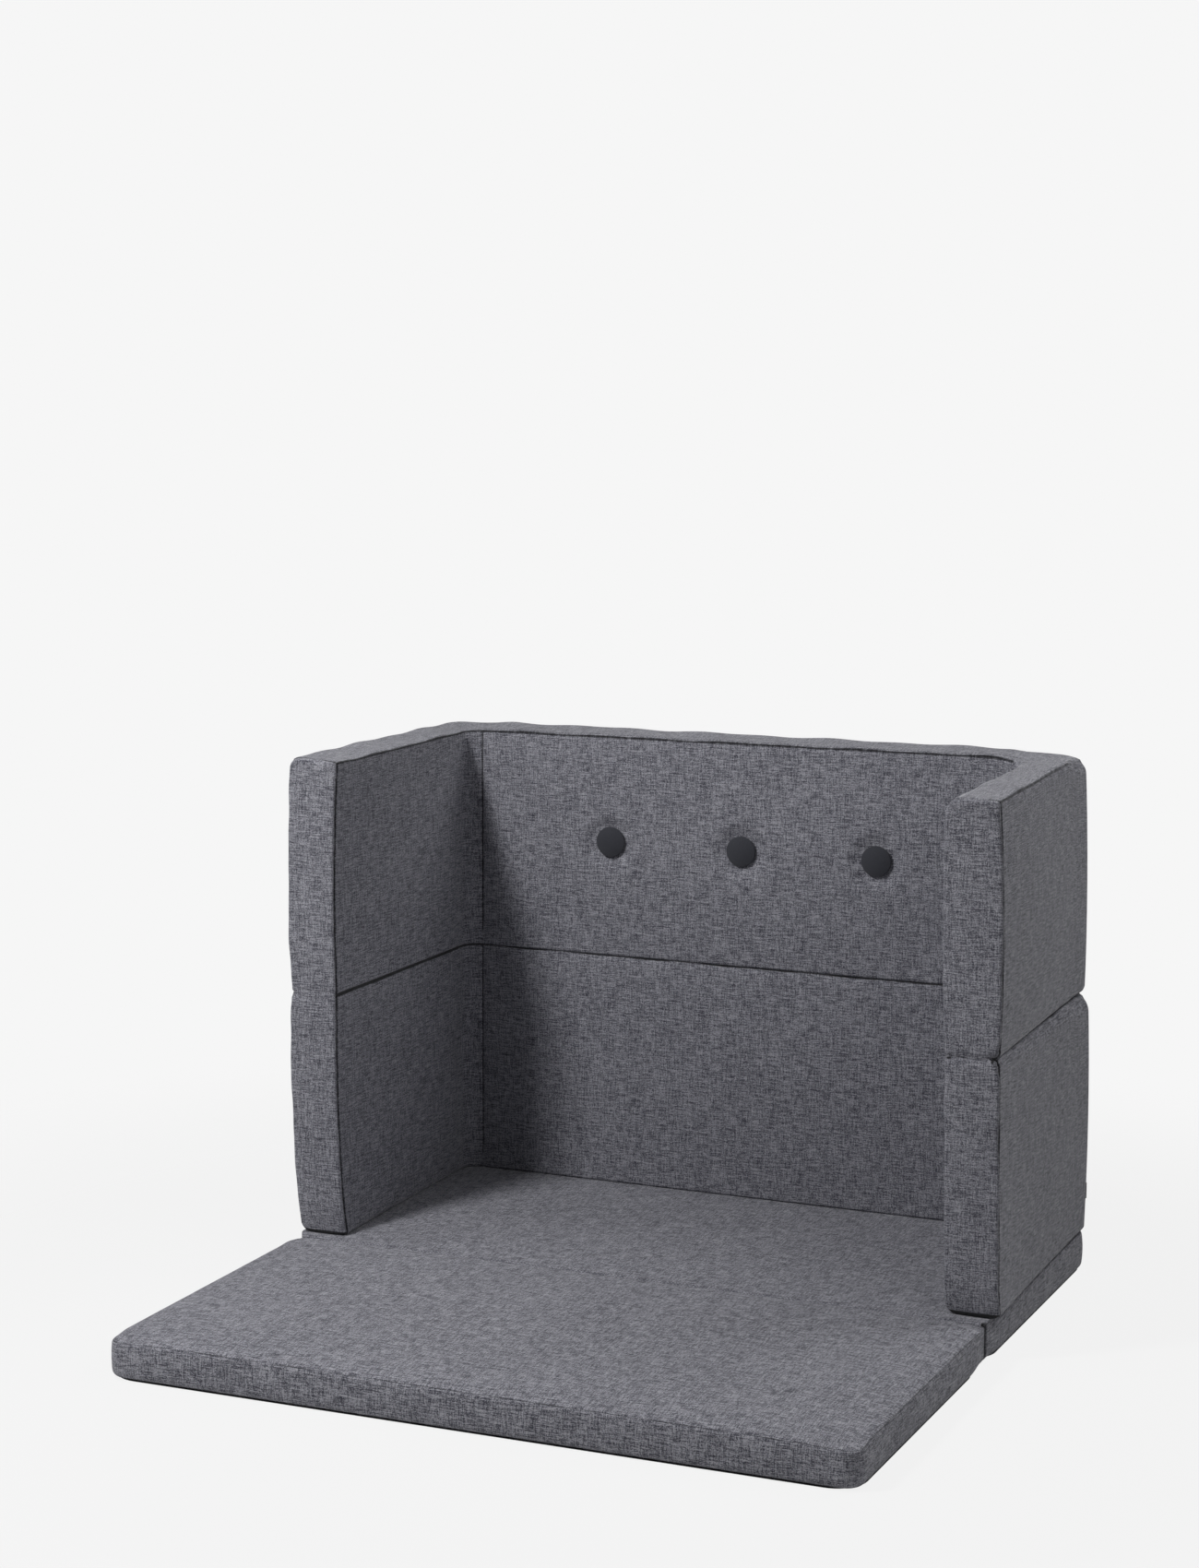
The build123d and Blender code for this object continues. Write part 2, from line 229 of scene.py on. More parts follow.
@dataclass(frozen=True)
class MelangeCloth:
    """Upholstery cloth of mixed grey yarns in a plain weave, with slubs both ways.

    The eye gets a cool grey with short dark and pale flecks along both yarns, matt, with a fine tooth.
    Sizes are in millimetres. The real yarn is about 0.7 mm; it is drawn at 1 mm and over, as fine as it shows.
    """

    name: str = "melange_upholstery_cloth_woven"
    pale: str = "#A6A6AD"
    middle: str = "#77777F"
    dark: str = "#3E3E47"
    yarn_mm: float = 1.0
    weft_mm: float = 1.1
    weft_slub_mm: float = 19.0
    warp_mm: float = 1.1
    warp_slub_mm: float = 15.0
    weft_group_mm: tuple[float, float] = (3.6, 20.0)
    warp_group_mm: tuple[float, float] = (3.0, 14.0)
    fleck_mm: float = 1.9
    weft_weight: float = 1.15
    warp_weight: float = 0.85
    group_share: float = 0.09
    contrast: float = 3.3
    cloud_mm: float = 90.0
    cloud_share: float = 0.16
    tone_stops: tuple[float, float, float] = (0.12, 0.5, 0.92)
    # Distances from a seam, slit, fold or gap at which the cloth is darkest and plain, and how far that dark line's
    # edge wanders: a seam line is painted dark, and a slit, fold or gap gets painted shade
    seam_dark_mm: float = 0.056
    seam_plain_mm: float = 2.24
    seam_and_painted_shade: float = 0.07
    seam_break_mm: float = 9.0
    seam_waver_mm: float = 2.2
    seam_waver_rest: float = 0.45
    bump_mm: float = 0.45
    bump_strength: float = 0.55
    fleck_height: float = 0.5
    slub_height: float = 0.25
    roughness: float = 0.92
    specular: float = 0.2
    sheen: float = 0.18
    sheen_roughness: float = 0.5

    def build(self) -> Material:
        """Builds the material from the piece's own cloth coordinates and seam distances, painted darker near seams and
        with painted shade in slits, folds and gaps.
        """
        material, tree, shader = new_material(self.name)
        cloth = add_node(tree, "ShaderNodeUVMap", uv_map="cloth").outputs["UV"]
        weft = stretched_noise(tree, cloth, self.weft_mm, self.weft_slub_mm, 3.1)
        warp = stretched_noise(tree, cloth, self.warp_mm, self.warp_slub_mm, 7.7, turned=True)
        weft_fleck = stretched_noise(tree, cloth, self.yarn_mm, self.fleck_mm, 13.3)
        warp_fleck = stretched_noise(tree, cloth, self.yarn_mm, self.fleck_mm, 19.9, turned=True)
        weft_group = stretched_noise(tree, cloth, *self.weft_group_mm, 53.0)
        warp_group = stretched_noise(tree, cloth, *self.warp_group_mm, 61.0, turned=True)
        cloud = stretched_noise(tree, cloth, self.cloud_mm, self.cloud_mm, 29.0)
        slubs = weighted_sum(tree, (weft, self.weft_weight), (warp, self.warp_weight))
        flecks = weighted_sum(tree, (weft_fleck, 1.0), (warp_fleck, 1.0))
        groups = weighted_sum(tree, (weft_group, self.weft_weight), (warp_group, self.warp_weight))
        rest = (1 - self.group_share) / 2
        mixed = weighted_sum(tree, (slubs, rest), (flecks, rest), (groups, self.group_share), plus=-0.5)
        tone = weighted_sum(tree, (mixed, self.contrast), (cloud, self.cloud_share),
                            plus=0.5 * (1 - self.contrast - self.cloud_share))
        yarn = add_ramp(tree, tone, self.tone_stops, (self.dark, self.middle, self.pale))
        distance = add_node(tree, "ShaderNodeAttribute", attribute_name="seam_and_shade_mm").outputs["Fac"]
        gaps = stretched_noise(tree, cloth, self.seam_break_mm, self.seam_break_mm, 41.0)
        seam = weighted_sum(tree, (gaps, self.seam_waver_mm), (distance, 1.0),
                            plus=-self.seam_waver_mm * self.seam_waver_rest)
        # Painted shade: the colour darkens towards a seam line, slit, fold or gap
        shade = add_node(tree, "ShaderNodeMapRange",
                         {"Value": seam, "From Min": self.seam_dark_mm, "From Max": self.seam_plain_mm,
                          "To Min": self.seam_and_painted_shade, "To Max": 1.0}, interpolation_type="SMOOTHSTEP").outputs["Result"]
        colour = add_node(tree, "ShaderNodeMix", {"Factor": 1.0, 6: yarn, 7: shade},
                          data_type="RGBA", blend_type="MULTIPLY")
        tree.links.new(colour.outputs[2], shader.inputs["Base Color"])
        height = weighted_sum(tree, (flecks, self.fleck_height), (slubs, self.slub_height))
        add_bump(tree, shader, height, self.bump_strength, self.bump_mm)
        shader.inputs["Roughness"].default_value = self.roughness
        shader.inputs["Specular IOR Level"].default_value = self.specular
        shader.inputs["Sheen Weight"].default_value = self.sheen
        shader.inputs["Sheen Roughness"].default_value = self.sheen_roughness
        return material


@dataclass(frozen=True)
class PlainTextile:
    """A textile or foam of one colour with a fine grain: felted cloth, tape, thread, twine or foam.

    The eye gets a matt surface whose tone varies grain by grain. Sizes are in millimetres.
    """

    name: str
    pale: str
    dark: str
    grain_mm: float
    rib_mm: float = 0.0
    bump_mm: float = 0.2
    roughness: float = 0.9
    sheen: float = 0.1
    grain_share: float = 0.7
    rib_share: float = 0.5
    tone_stops: tuple[float, float] = (0.25, 0.75)

    def build(self) -> Material:
        """Builds the material on Object coordinates, with ribs where the textile has them."""
        material, tree, shader = new_material(self.name)
        place = add_node(tree, "ShaderNodeTexCoord").outputs["Object"]
        grain = add_node(tree, "ShaderNodeTexNoise",
                         {"Vector": place, "Scale": 1 / (self.grain_mm * MM), "Detail": 3.0, "Roughness": 0.65})
        fine = add_node(tree, "ShaderNodeTexVoronoi", {"Vector": place, "Scale": 0.8 / (self.grain_mm * MM)})
        height = weighted_sum(tree, (grain.outputs["Fac"], self.grain_share),
                              (fine.outputs["Distance"], 1 - self.grain_share))
        if self.rib_mm:
            wave = add_node(tree, "ShaderNodeTexWave",
                            {"Vector": place, "Scale": 1 / (self.rib_mm * MM * 2 * math.pi), "Distortion": 0.4},
                            bands_direction="DIAGONAL")
            height = weighted_sum(tree, (wave.outputs["Fac"], self.rib_share), (height, 1 - self.rib_share))
        tone = add_ramp(tree, height, self.tone_stops, (self.dark, self.pale))
        tree.links.new(tone, shader.inputs["Base Color"])
        add_bump(tree, shader, height, 0.5, self.bump_mm)
        shader.inputs["Roughness"].default_value = self.roughness
        shader.inputs["Specular IOR Level"].default_value = 0.2
        shader.inputs["Sheen Weight"].default_value = self.sheen
        return material


@dataclass(frozen=True)
class SmoothFinish:
    """A moulded plastic or enamelled metal with a faint unevenness in its gloss. Sizes are in millimetres."""

    name: str
    colour: str
    patch_mm: float
    roughness: float
    unevenness: float = 0.2
    bump_mm: float = 0.05

    def build(self) -> Material:
        """Builds the material on Object coordinates."""
        material, tree, shader = new_material(self.name)
        place = add_node(tree, "ShaderNodeTexCoord").outputs["Object"]
        patch = add_node(tree, "ShaderNodeTexNoise",
                         {"Vector": place, "Scale": 1 / (self.patch_mm * MM), "Detail": 4.0}).outputs["Fac"]
        rough = weighted_sum(tree, (patch, self.unevenness), plus=self.roughness - self.unevenness / 2)
        tree.links.new(rough, shader.inputs["Roughness"])
        add_bump(tree, shader, patch, 0.1, self.bump_mm)
        shader.inputs["Base Color"].default_value = linear(self.colour)
        return material


def built(finish: type, *values: object, **more: object) -> Material:
    """A field whose finish is built with the sofa's other finishes."""
    return field(default_factory=lambda: finish(*values, **more).build())


@dataclass
class Finishes:
    """Every finish of the sofa, built once."""

    cloth: Material = built(MelangeCloth)
    # The same cloth lying flat: seen at a low angle, its thread groups stand out more
    flat_cloth: Material = built(
        MelangeCloth, "melange_upholstery_cloth_laid_flat", group_share=0.18, contrast=4.2)
    # Fine felted cloth on the buttons: dark charcoal, smooth, with a faint fuzz
    button: Material = built(
        PlainTextile, "button_felt_pressed", "#3A3B41", "#303137", 0.8, bump_mm=0.08, roughness=0.85, sheen=0.2)
    # Polyurethane foam, cut: pale straw with open cells
    foam: Material = built(
        PlainTextile, "polyurethane_foam_cut", "#EFE9D2", "#CFC7A8", 1.6, bump_mm=0.5)
    # Cloth coated with soft dots: black, dry to the touch
    non_slip: Material = built(
        PlainTextile, "non_slip_cloth_woven", "#26262A", "#151518", 1.2, rib_mm=2.0, bump_mm=0.15)
    dot: Material = built(
        SmoothFinish, "soft_vinyl_dot_printed", "#1B1B1E", 3.0, 0.55)
    # Polyester tape of the zips: dark, with fine ribs
    tape: Material = built(
        PlainTextile, "zip_tape_polyester_woven", "#3C3C43", "#27272C", 0.7, rib_mm=1.4, bump_mm=0.15)
    coil: Material = built(
        SmoothFinish, "zip_coil_nylon_moulded", "#2C2C31", 2.0, 0.42)
    # Zinc slider under baked enamel: dark, half gloss
    slider: Material = built(
        SmoothFinish, "zip_slider_zinc_enamelled", "#2E2E31", 3.0, 0.35)
    thread: Material = built(
        PlainTextile, "sewing_thread_spun", "#5B5B63", "#42424A", 0.5, bump_mm=0.05, roughness=0.8)
    twine: Material = built(
        PlainTextile, "tufting_twine_waxed", "#2A2A2E", "#1A1A1D", 0.6, bump_mm=0.1, roughness=0.6)
    anchor: Material = built(
        SmoothFinish, "polypropylene_disc_moulded", "#DADAD4", 6.0, 0.5)
    tab: Material = built(
        PlainTextile, "cotton_tape_woven", "#26262A", "#17171A", 0.6, rib_mm=1.2, bump_mm=0.15)


@dataclass
class Surface:
    """Points and faces of a piece before it becomes an object.

    Attributes:
        points: Places, one row for each point.
        quads: Point numbers of the four-sided faces.
        uvs: Cloth coordinates of each face corner, in metres.
        seam: Distance of each point from the nearest seam, slit, fold or gap, in millimetres; near it the cloth is
            painted darker, as a seam line at seams and as painted shade at slits, folds and gaps.
    """

    points: Array
    quads: Array
    uvs: Array
    seam: Array

    def normals(self) -> Array:
        """Unit normals of the points, as the mean of their faces' normals."""
        corners = self.points[self.quads]
        face_normals = np.cross(corners[:, 2] - corners[:, 0], corners[:, 3] - corners[:, 1])
        sums = np.zeros_like(self.points)
        for corner in range(4):
            np.add.at(sums, self.quads[:, corner], face_normals)
        return sums / np.maximum(np.linalg.norm(sums, axis=1, keepdims=True), 1e-12)

    def push(self, amount: Array) -> None:
        """Moves each point along its normal by an amount in millimetres."""
        self.points = self.points + self.normals() * (amount * MM)[:, None]

    def turned_outwards(self) -> "Surface":
        """The same surface with its faces outwards, judged by the volume that they hold."""
        corners = self.points[self.quads] - self.points.mean(0)
        volume = np.einsum("ij,ij->", corners[:, 0], np.cross(corners[:, 1], corners[:, 2]))
        volume += np.einsum("ij,ij->", corners[:, 0], np.cross(corners[:, 2], corners[:, 3]))
        if volume < 0:
            self.quads = self.quads[:, ::-1].copy()
            self.uvs = self.uvs[:, ::-1].copy()
        return self

    def to_object(self, name: str, material: Material, smooth: bool = True) -> Object:
        """Makes the mesh and its object.

        Args:
            name: The piece's name.
            material: Its finish.
            smooth: True for smooth shading.

        Returns:
            The object, linked to the scene.
        """
        mesh = bpy.data.meshes.new(name)
        mesh.from_pydata(self.points.tolist(), [], self.quads.tolist())
        layer = mesh.uv_layers.new(name="cloth")
        layer.data.foreach_set("uv", self.uvs.reshape(-1).astype(np.float32))
        # Distances that set the cloth's painted seam lines and painted shade
        seam = mesh.attributes.new("seam_and_shade_mm", "FLOAT", "POINT")
        seam.data.foreach_set("value", self.seam.astype(np.float32))
        if smooth:
            mesh.shade_smooth()
        mesh.materials.append(material)
        return add_object(name, mesh)


def smooth_step(low: float, high: float, value: Array) -> Array:
    """Smooth rise from 0 at low to 1 at high."""
    share = np.clip((value - low) / (high - low), 0, 1)
    return share * share * (3 - 2 * share)


def ripple(place: Array, lengths: tuple[float, ...], seed: float) -> Array:
    """Sum of sines of several wavelengths, as cloth waves along a seam.

    Args:
        place: Distance along the seam, in metres.
        lengths: Wavelengths in millimetres.
        seed: Shift that makes each seam its own.

    Returns:
        Values from about -1 to 1.
    """
    waves = sum(np.sin(place * 2 * math.pi / (length * MM) + seed * (1.7 * n + 1)) for n, length in enumerate(lengths))
    return waves / len(lengths)


def running_length(path: Array) -> Array:
    """Length along a path up to each of its points."""
    return np.concatenate([[0], np.cumsum(np.linalg.norm(np.diff(path, axis=0), axis=1))])


def graded(start: float, end: float, coarse: float, fine: float, centres: tuple[float, ...],
           reach: float) -> Array:
    """Places from start to end, closer together near some centres.

    Args:
        start: First place.
        end: Last place.
        coarse: Usual step.
        fine: Step near the centres.
        centres: Places that need the fine step.
        reach: How far the fine step goes on either side.

    Returns:
        The places, both ends included.
    """
    places = [start]
    while places[-1] < end:
        near = min((abs(places[-1] - centre) for centre in centres), default=math.inf)
        share = min(max((near - reach) / reach, 0), 1)
        places.append(places[-1] + fine + (coarse - fine) * share)
    scaled = np.array(places)
    return start + (scaled - start) * (end - start) / (scaled[-1] - start)


@dataclass
class RoundedBox:
    """Closed box with rounded upright corners and rounded edges, on a regular net of faces.

    Sizes are in metres. The corner radii are those at low x low y, high x low y, low x high y and
    high x high y. The edge radii may change towards the side at the fold.
    """

    low: Vector
    high: Vector
    corner_radii: tuple[float, float, float, float]
    top_radius: float
    bottom_radius: float
    spacing: float
    fold_side: int = 0
    fold_top_radius: float = 0.0
    fold_bottom_radius: float = 0.0
    fine_spacing: float = 1.5 * MM

    def places(self, axis: int) -> Array:
        """Net lines along an axis, closer near both ends, where the corners and edges turn.

        Args:
            axis: 0, 1 or 2.

        Returns:
            Their places, in metres.
        """
        start, end = self.low[axis], self.high[axis]
        edge = max(self.top_radius, self.bottom_radius, self.fold_bottom_radius)
        reach = min(edge if axis == 2 else max(edge, *self.corner_radii), (end - start) / 2.5)
        near = np.linspace(0, reach, max(round(reach / self.fine_spacing), 3) + 1)
        count = max(round((end - start - 2 * reach) / self.spacing), 1)
        middle = np.linspace(start + reach, end - reach, count + 1)
        return np.concatenate([start + near[:-1], middle, (end - near[:-1])[::-1]])

    def radii(self, plan: Array) -> tuple[Array, Array, Array]:
        """Radii of the box's edges.

        Args:
            plan: Places of the plan.

        Returns:
            Upright corner, top edge and bottom edge radii at each place.
        """
        middle = (np.array(self.low)[:2] + np.array(self.high)[:2]) / 2
        quarter = (plan[:, 0] > middle[0]) + 2 * (plan[:, 1] > middle[1])
        corner = np.array(self.corner_radii)[quarter.astype(int)]
        top, bottom = np.full(len(plan), self.top_radius), np.full(len(plan), self.bottom_radius)
        if self.fold_side:
            away = np.abs(plan[:, 1] - (self.high.y if self.fold_side > 0 else self.low.y))
            share = smooth_step(self.fold_bottom_radius, 4 * self.fold_bottom_radius, away)
            top = self.fold_top_radius + (self.top_radius - self.fold_top_radius) * share
            bottom = self.fold_bottom_radius + (self.bottom_radius - self.fold_bottom_radius) * share
        return corner, top, bottom

    def surface(self) -> Surface:
        """Builds the net, rounds it, and measures how far each point lies from the edge seams."""
        axes = [self.places(axis) for axis in range(3)]
        counts = [len(line) for line in axes]
        grid = np.stack(np.meshgrid(*axes, indexing="ij"), axis=-1)
        on_skin = np.zeros(counts, bool)
        for axis in range(3):
            for end in (0, -1):
                on_skin[tuple(end if a == axis else slice(None) for a in range(3))] = True
        number = np.full(counts, -1)
        number[on_skin] = np.arange(on_skin.sum())
        flat = grid[on_skin]
        quads, uvs = [], []
        for axis in range(3):
            first, second = [a for a in range(3) if a != axis]
            for end in (0, -1):
                sheet = number[tuple(end if a == axis else slice(None) for a in range(3))]
                around = np.stack([sheet[:-1, :-1], sheet[1:, :-1], sheet[1:, 1:], sheet[:-1, 1:]], -1).reshape(-1, 4)
                if (end == 0) != (axis == 1):
                    around = around[:, ::-1]
                quads.append(around)
                uvs.append(np.stack([flat[around][..., first], flat[around][..., second]], -1))
        surface = Surface(self.rounded(flat), np.concatenate(quads), np.concatenate(uvs), self.seam_distance(flat))
        return surface.turned_outwards()

    def side_gaps(self, flat: Array) -> Array:
        """Distance of each point from the four upright sides."""
        low, high = self.low, self.high
        return np.stack([flat[:, 0] - low.x, high.x - flat[:, 0], flat[:, 1] - low.y, high.y - flat[:, 1]], 1)

    def rounded(self, flat: Array) -> Array:
        """Moves the points of the sharp box onto the rounded one.

        Args:
            flat: Points of the sharp box.

        Returns:
            Points of the rounded box.
        """
        low, high = np.array(self.low), np.array(self.high)
        corner, top, bottom = self.radii(flat[:, :2])
        core = np.clip(flat[:, :2], low[:2] + corner[:, None], high[:2] - corner[:, None])
        out = flat[:, :2] - core
        ring = np.abs(out).max(1)
        turned = (np.abs(out) > 0).all(1)
        gaps = self.side_gaps(flat)
        inset = gaps.min(1)
        height, moved = flat[:, 2].copy(), inset.copy()
        for radius, level, way in ((top, high[2], 1), (bottom, low[2], -1)):
            across, along = radius - inset, way * (flat[:, 2] - level) + radius
            rounding = (across > 0) & (along > 0)
            shrink = np.maximum(across, along) / np.maximum(np.hypot(across, along), 1e-12)
            moved = np.where(rounding, radius - across * shrink, moved)
            height = np.where(rounding, level + way * (along * shrink - radius), height)
        length = np.maximum(np.linalg.norm(out, axis=1), 1e-12)[:, None]
        round_plan = core + out / length * (corner - moved)[:, None]
        ways = np.array([(1, 0), (-1, 0), (0, 1), (0, -1)])[gaps.argmin(1)]
        straight_plan = flat[:, :2] + ways * (moved - inset)[:, None]
        plan = np.where((turned & (ring > 0))[:, None], round_plan, straight_plan)
        return np.column_stack([plan, height])

    def seam_distance(self, flat: Array) -> Array:
        """Distance from the seams along the top and bottom edges, in millimetres."""
        inset = self.side_gaps(flat).min(1)
        upper = inset + self.high.z - flat[:, 2]
        lower = inset + flat[:, 2] - self.low.z
        return np.minimum(upper, lower) / MM


def dress(piece: Object, body: Body | None, nodes: tuple[str, ...] = ()) -> None:
    """Hides the CAD nodes that a piece stands for, hangs it on the body that it rides on and logs its triangles.

    Args:
        piece: The finished object.
        body: The body that it rides on, or None for a piece that rides on no body.
        nodes: CAD nodes that it replaces.
    """
    if nodes:
        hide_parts(*nodes)
    if body is not None:
        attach(piece, body.value)
    triangles = sum(len(face.vertices) - 2 for face in piece.data.polygons)
    log.info("%s: %d triangles", piece.name, triangles)


@dataclass
class Mat:
    """One of the two mats: a boxed cushion with a soft crown. Sizes are in millimetres."""

    name: str
    body: Body
    fold_side: int
    crown: float
    seed: float
    outer_corner_radius: float = 21.0
    fold_corner_radii: tuple[float, float] = (26.0, 6.0)
    top_radius: float = 4.5
    bottom_radius: float = 7.0
    fold_top_radius: float = 1.5
    fold_bottom_radius: float = 13.0
    spacing: float = 6.0
    side_bow: float = 2.0
    bow_in_cad: float = 1.5
    wave: float = 0.8
    wave_reach: float = 32.0
    edge_sag: float = 3.2
    edge_sag_reach: float = 26.0
    corner_sag: float = 4.5
    corner_sag_reach: float = 34.0
    left_in: float = 3.5
    seam_floor: float = 0.8
    seam_waver: float = 0.35
    seam_slope: float = 0.75
    fold_shade_slope: float = 0.22
    fold_plain_reach: float = 12.0
    zip_fade: float = 9.0

    def limits(self) -> tuple[Vector, Vector]:
        """Low and high corners of the mat without its bows, in metres."""
        low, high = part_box(f"{self.name}_cover")
        bow = self.bow_in_cad * MM
        ends = (0 if self.fold_side < 0 else bow, 0 if self.fold_side > 0 else bow)
        return (Vector((low.x + bow, low.y + ends[0], low.z)),
                Vector((high.x - bow, high.y - ends[1], frame_sizes.mat_top)))

    def build(self, finishes: Finishes) -> Object:
        """Makes the padded cover of the mat.

        Args:
            finishes: The sofa's finishes.

        Returns:
            The cover.
        """
        low, high = self.limits()
        folds, outer = tuple(radius * MM for radius in self.fold_corner_radii), self.outer_corner_radius * MM
        corners = (outer, outer, *folds) if self.fold_side > 0 else (*folds, outer, outer)
        shape = RoundedBox(low, high, corners, self.top_radius * MM, self.bottom_radius * MM, self.spacing * MM,
                           self.fold_side, self.fold_top_radius * MM, self.fold_bottom_radius * MM)
        surface = shape.surface()
        self.soften(surface)
        piece = surface.to_object(f"{self.name}_fitted_cover", finishes.flat_cloth)
        dress(piece, self.body, (f"{self.name}_cover",))
        return piece

    def soften(self, surface: Surface) -> None:
        """Raises the crown, bows the sides, lets the cloth wave along its seams, and sets its seam lines and the
        painted shade of the gap at the fold.

        Args:
            surface: The skin, changed in place.
        """
        low, high = self.limits()
        x, y, z = surface.points.T
        half_x, half_y = (high.x - low.x) / 2, (high.y - low.y) / 2
        across = np.clip(np.abs(x - (low.x + high.x) / 2) / half_x, 0, 1)
        along = np.clip(np.abs(y - (low.y + high.y) / 2) / half_y, 0, 1)
        toward_fold = self.fold_side * (y - (low.y + high.y) / 2) / half_y
        normal = surface.normals()
        up = np.clip(normal[:, 2], 0, 1)
        level = (1 - along ** 4) * (1 - across ** 10)
        edge = np.minimum(np.minimum(x - low.x, high.x - x), np.minimum(y - low.y, high.y - y)) / MM
        edge = np.clip(edge, 0, None)
        fade = np.exp(-edge / self.wave_reach) * smooth_step(0.5, 6, edge)
        waves = ripple(x + 0.3 * y, (118, 71, 43), self.seed) + 0.6 * ripple(y - 0.2 * x, (97, 53, 31), self.seed + 2)
        fade = fade * smooth_step(-1.05, -0.2, -toward_fold)
        lift = up * (self.crown * level + self.wave * waves * fade)
        side = 1 - np.abs(normal[:, 2])
        middle = np.clip(1 - ((z - (low.z + high.z) / 2) / ((high.z - low.z) / 2)) ** 2, 0, 1)
        away_from_fold = smooth_step(-0.98, -0.8, -toward_fold)
        wobble = 1 + 0.5 * ripple(x + y, (140, 83), self.seed + 5)
        lift += side * middle * self.side_bow * away_from_fold * wobble
        surface.push(lift)
        self.sag(surface)
        surface.points = zip_seat(surface.points, f"{self.name}_zip", self.zip_fade)
        to_fold = np.abs(y - (high.y if self.fold_side > 0 else low.y)) / MM
        inside = (half_x - np.abs(x)) / MM - self.fold_corner_radii[1]
        on_top = (z > low.z + 0.6 * (high.z - low.z)) & (inside > 0)
        seam_line = self.seam_floor + self.seam_waver * ripple(x + y, (140, 61), self.seed + 7)
        seam_line = seam_line + self.seam_slope * surface.seam
        surface.seam = np.where(on_top & (to_fold < self.fold_plain_reach), PLAIN_SEAM, seam_line)
        # Painted shade of the gap at the fold, on the side faces
        fold_shade_line = self.fold_shade_slope * to_fold + np.clip(inside, 0, PLAIN_SEAM)
        surface.seam = np.where(~on_top, np.minimum(surface.seam, fold_shade_line), surface.seam)

    def sag(self, surface: Surface) -> None:
        """Lets the top sink along its free edges, most at its two free corners, and draws the left side in.

        Args:
            surface: The skin, changed in place.
        """
        low, high = self.limits()
        x, y, z = surface.points.T
        to_side = np.minimum(x - low.x, high.x - x) / MM
        to_end = (y - low.y if self.fold_side > 0 else high.y - y) / MM
        share = np.clip((z - low.z) / (high.z - low.z), 0, 1)
        edge = np.exp(-np.clip(np.minimum(to_side, to_end), 0, None) / self.edge_sag_reach)
        corner = np.exp(-np.hypot(np.clip(to_side, 0, None), np.clip(to_end, 0, None)) / self.corner_sag_reach)
        amount = self.edge_sag * edge + self.corner_sag * corner
        left_side = smooth_step(0.3, 1, -x / high.x) * self.left_in * MM
        surface.points = np.column_stack([x + left_side, y, z - amount * MM * share ** 2])


def zip_face(name: str) -> tuple[int, int, float]:
    """Finds how a zip lies on its cover.

    Args:
        name: The zip's node.

    Returns:
        The axis that it faces, its way out along it, and the place of the cloth there, in metres.
    """
    low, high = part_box(name)
    sunk = 0.4 * MM
    if high.x - low.x < high.y - low.y:
        return 0, -1, low.x + sunk
    return 1, 1, high.y - sunk


def zip_seat(points: Array, name: str, fade: float) -> Array:
    """Flattens a cover where its zip is sewn in.

    Args:
        points: The cover's points.
        name: The zip's node.
        fade: How far above and below the zip the cloth comes back to its own shape, in millimetres.

    Returns:
        The moved points.
    """
    low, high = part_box(name)
    facing, _, face = zip_face(name)
    along, up = points[:, 1 - facing], points[:, 2]
    past_end = np.maximum(low[1 - facing] - along, along - high[1 - facing]) / MM
    past_side = np.maximum(low.z - up, up - high.z) / MM
    near = np.abs(points[:, facing] - face) < 9 * MM
    weight = near * (1 - smooth_step(2, 34, past_end)) * (1 - smooth_step(1, fade, past_side))
    moved = points.copy()
    moved[:, facing] += weight * (face - moved[:, facing])
    return moved


@dataclass
class FrameSizes:
    """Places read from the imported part, in metres."""

    half_width: float
    back_y: float
    back_inner_y: float
    arm_inner_x: float
    arm_front_y: float
    mat_top: float
    lower: tuple[float, float]
    upper: tuple[float, float]
    crease: float
    button_places: tuple[float, ...]
    button_z: float

    @classmethod
    def read(cls) -> "FrameSizes":
        """Works the places out from the nodes' boxes."""
        back_bow, arm_bow = 5.0 * MM, 4.0 * MM
        lower_back, upper_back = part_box("lower_back_cover"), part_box("upper_back_cover")
        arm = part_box("left_lower_arm_cover")
        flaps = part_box("left_hinge_lower_flap"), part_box("left_hinge_upper_flap")
        buttons = [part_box(f"{side}_button") for side in ("left", "middle", "right")]
        wall_seat = 1.0 * MM
        return cls(
            half_width=lower_back[1].x,
            back_y=lower_back[1].y,
            back_inner_y=lower_back[0].y + back_bow,
            arm_inner_x=-(arm[1].x - arm_bow),
            arm_front_y=arm[0].y,
            mat_top=lower_back[0].z - wall_seat,
            lower=(lower_back[0].z, lower_back[1].z),
            upper=(upper_back[0].z, upper_back[1].z),
            crease=(flaps[0][1].z + flaps[1][0].z) / 2,
            button_places=tuple((low.x + high.x) / 2 for low, high in buttons),
            button_z=(buttons[0][0].z + buttons[0][1].z) / 2,
        )


frame_sizes = FrameSizes.read()


@dataclass(frozen=True)
class ArmLean:
    """How far outwards the front of an arm stands at the bottom, middle and top of a level, in millimetres."""

    outer: tuple[float, float, float]
    inner: tuple[float, float, float]

    def at(self, share: Array, across: Array) -> Array:
        """Outward shift by height in the level (0 to 1) and place across the arm (0 inner, 1 outer)."""
        weights = (2 * (share - 0.5) * (share - 1), 4 * share * (1 - share), 2 * share * (share - 0.5))
        outer, inner = (sum(w * value for w, value in zip(weights, line)) for line in (self.outer, self.inner))
        return inner + (outer - inner) * across


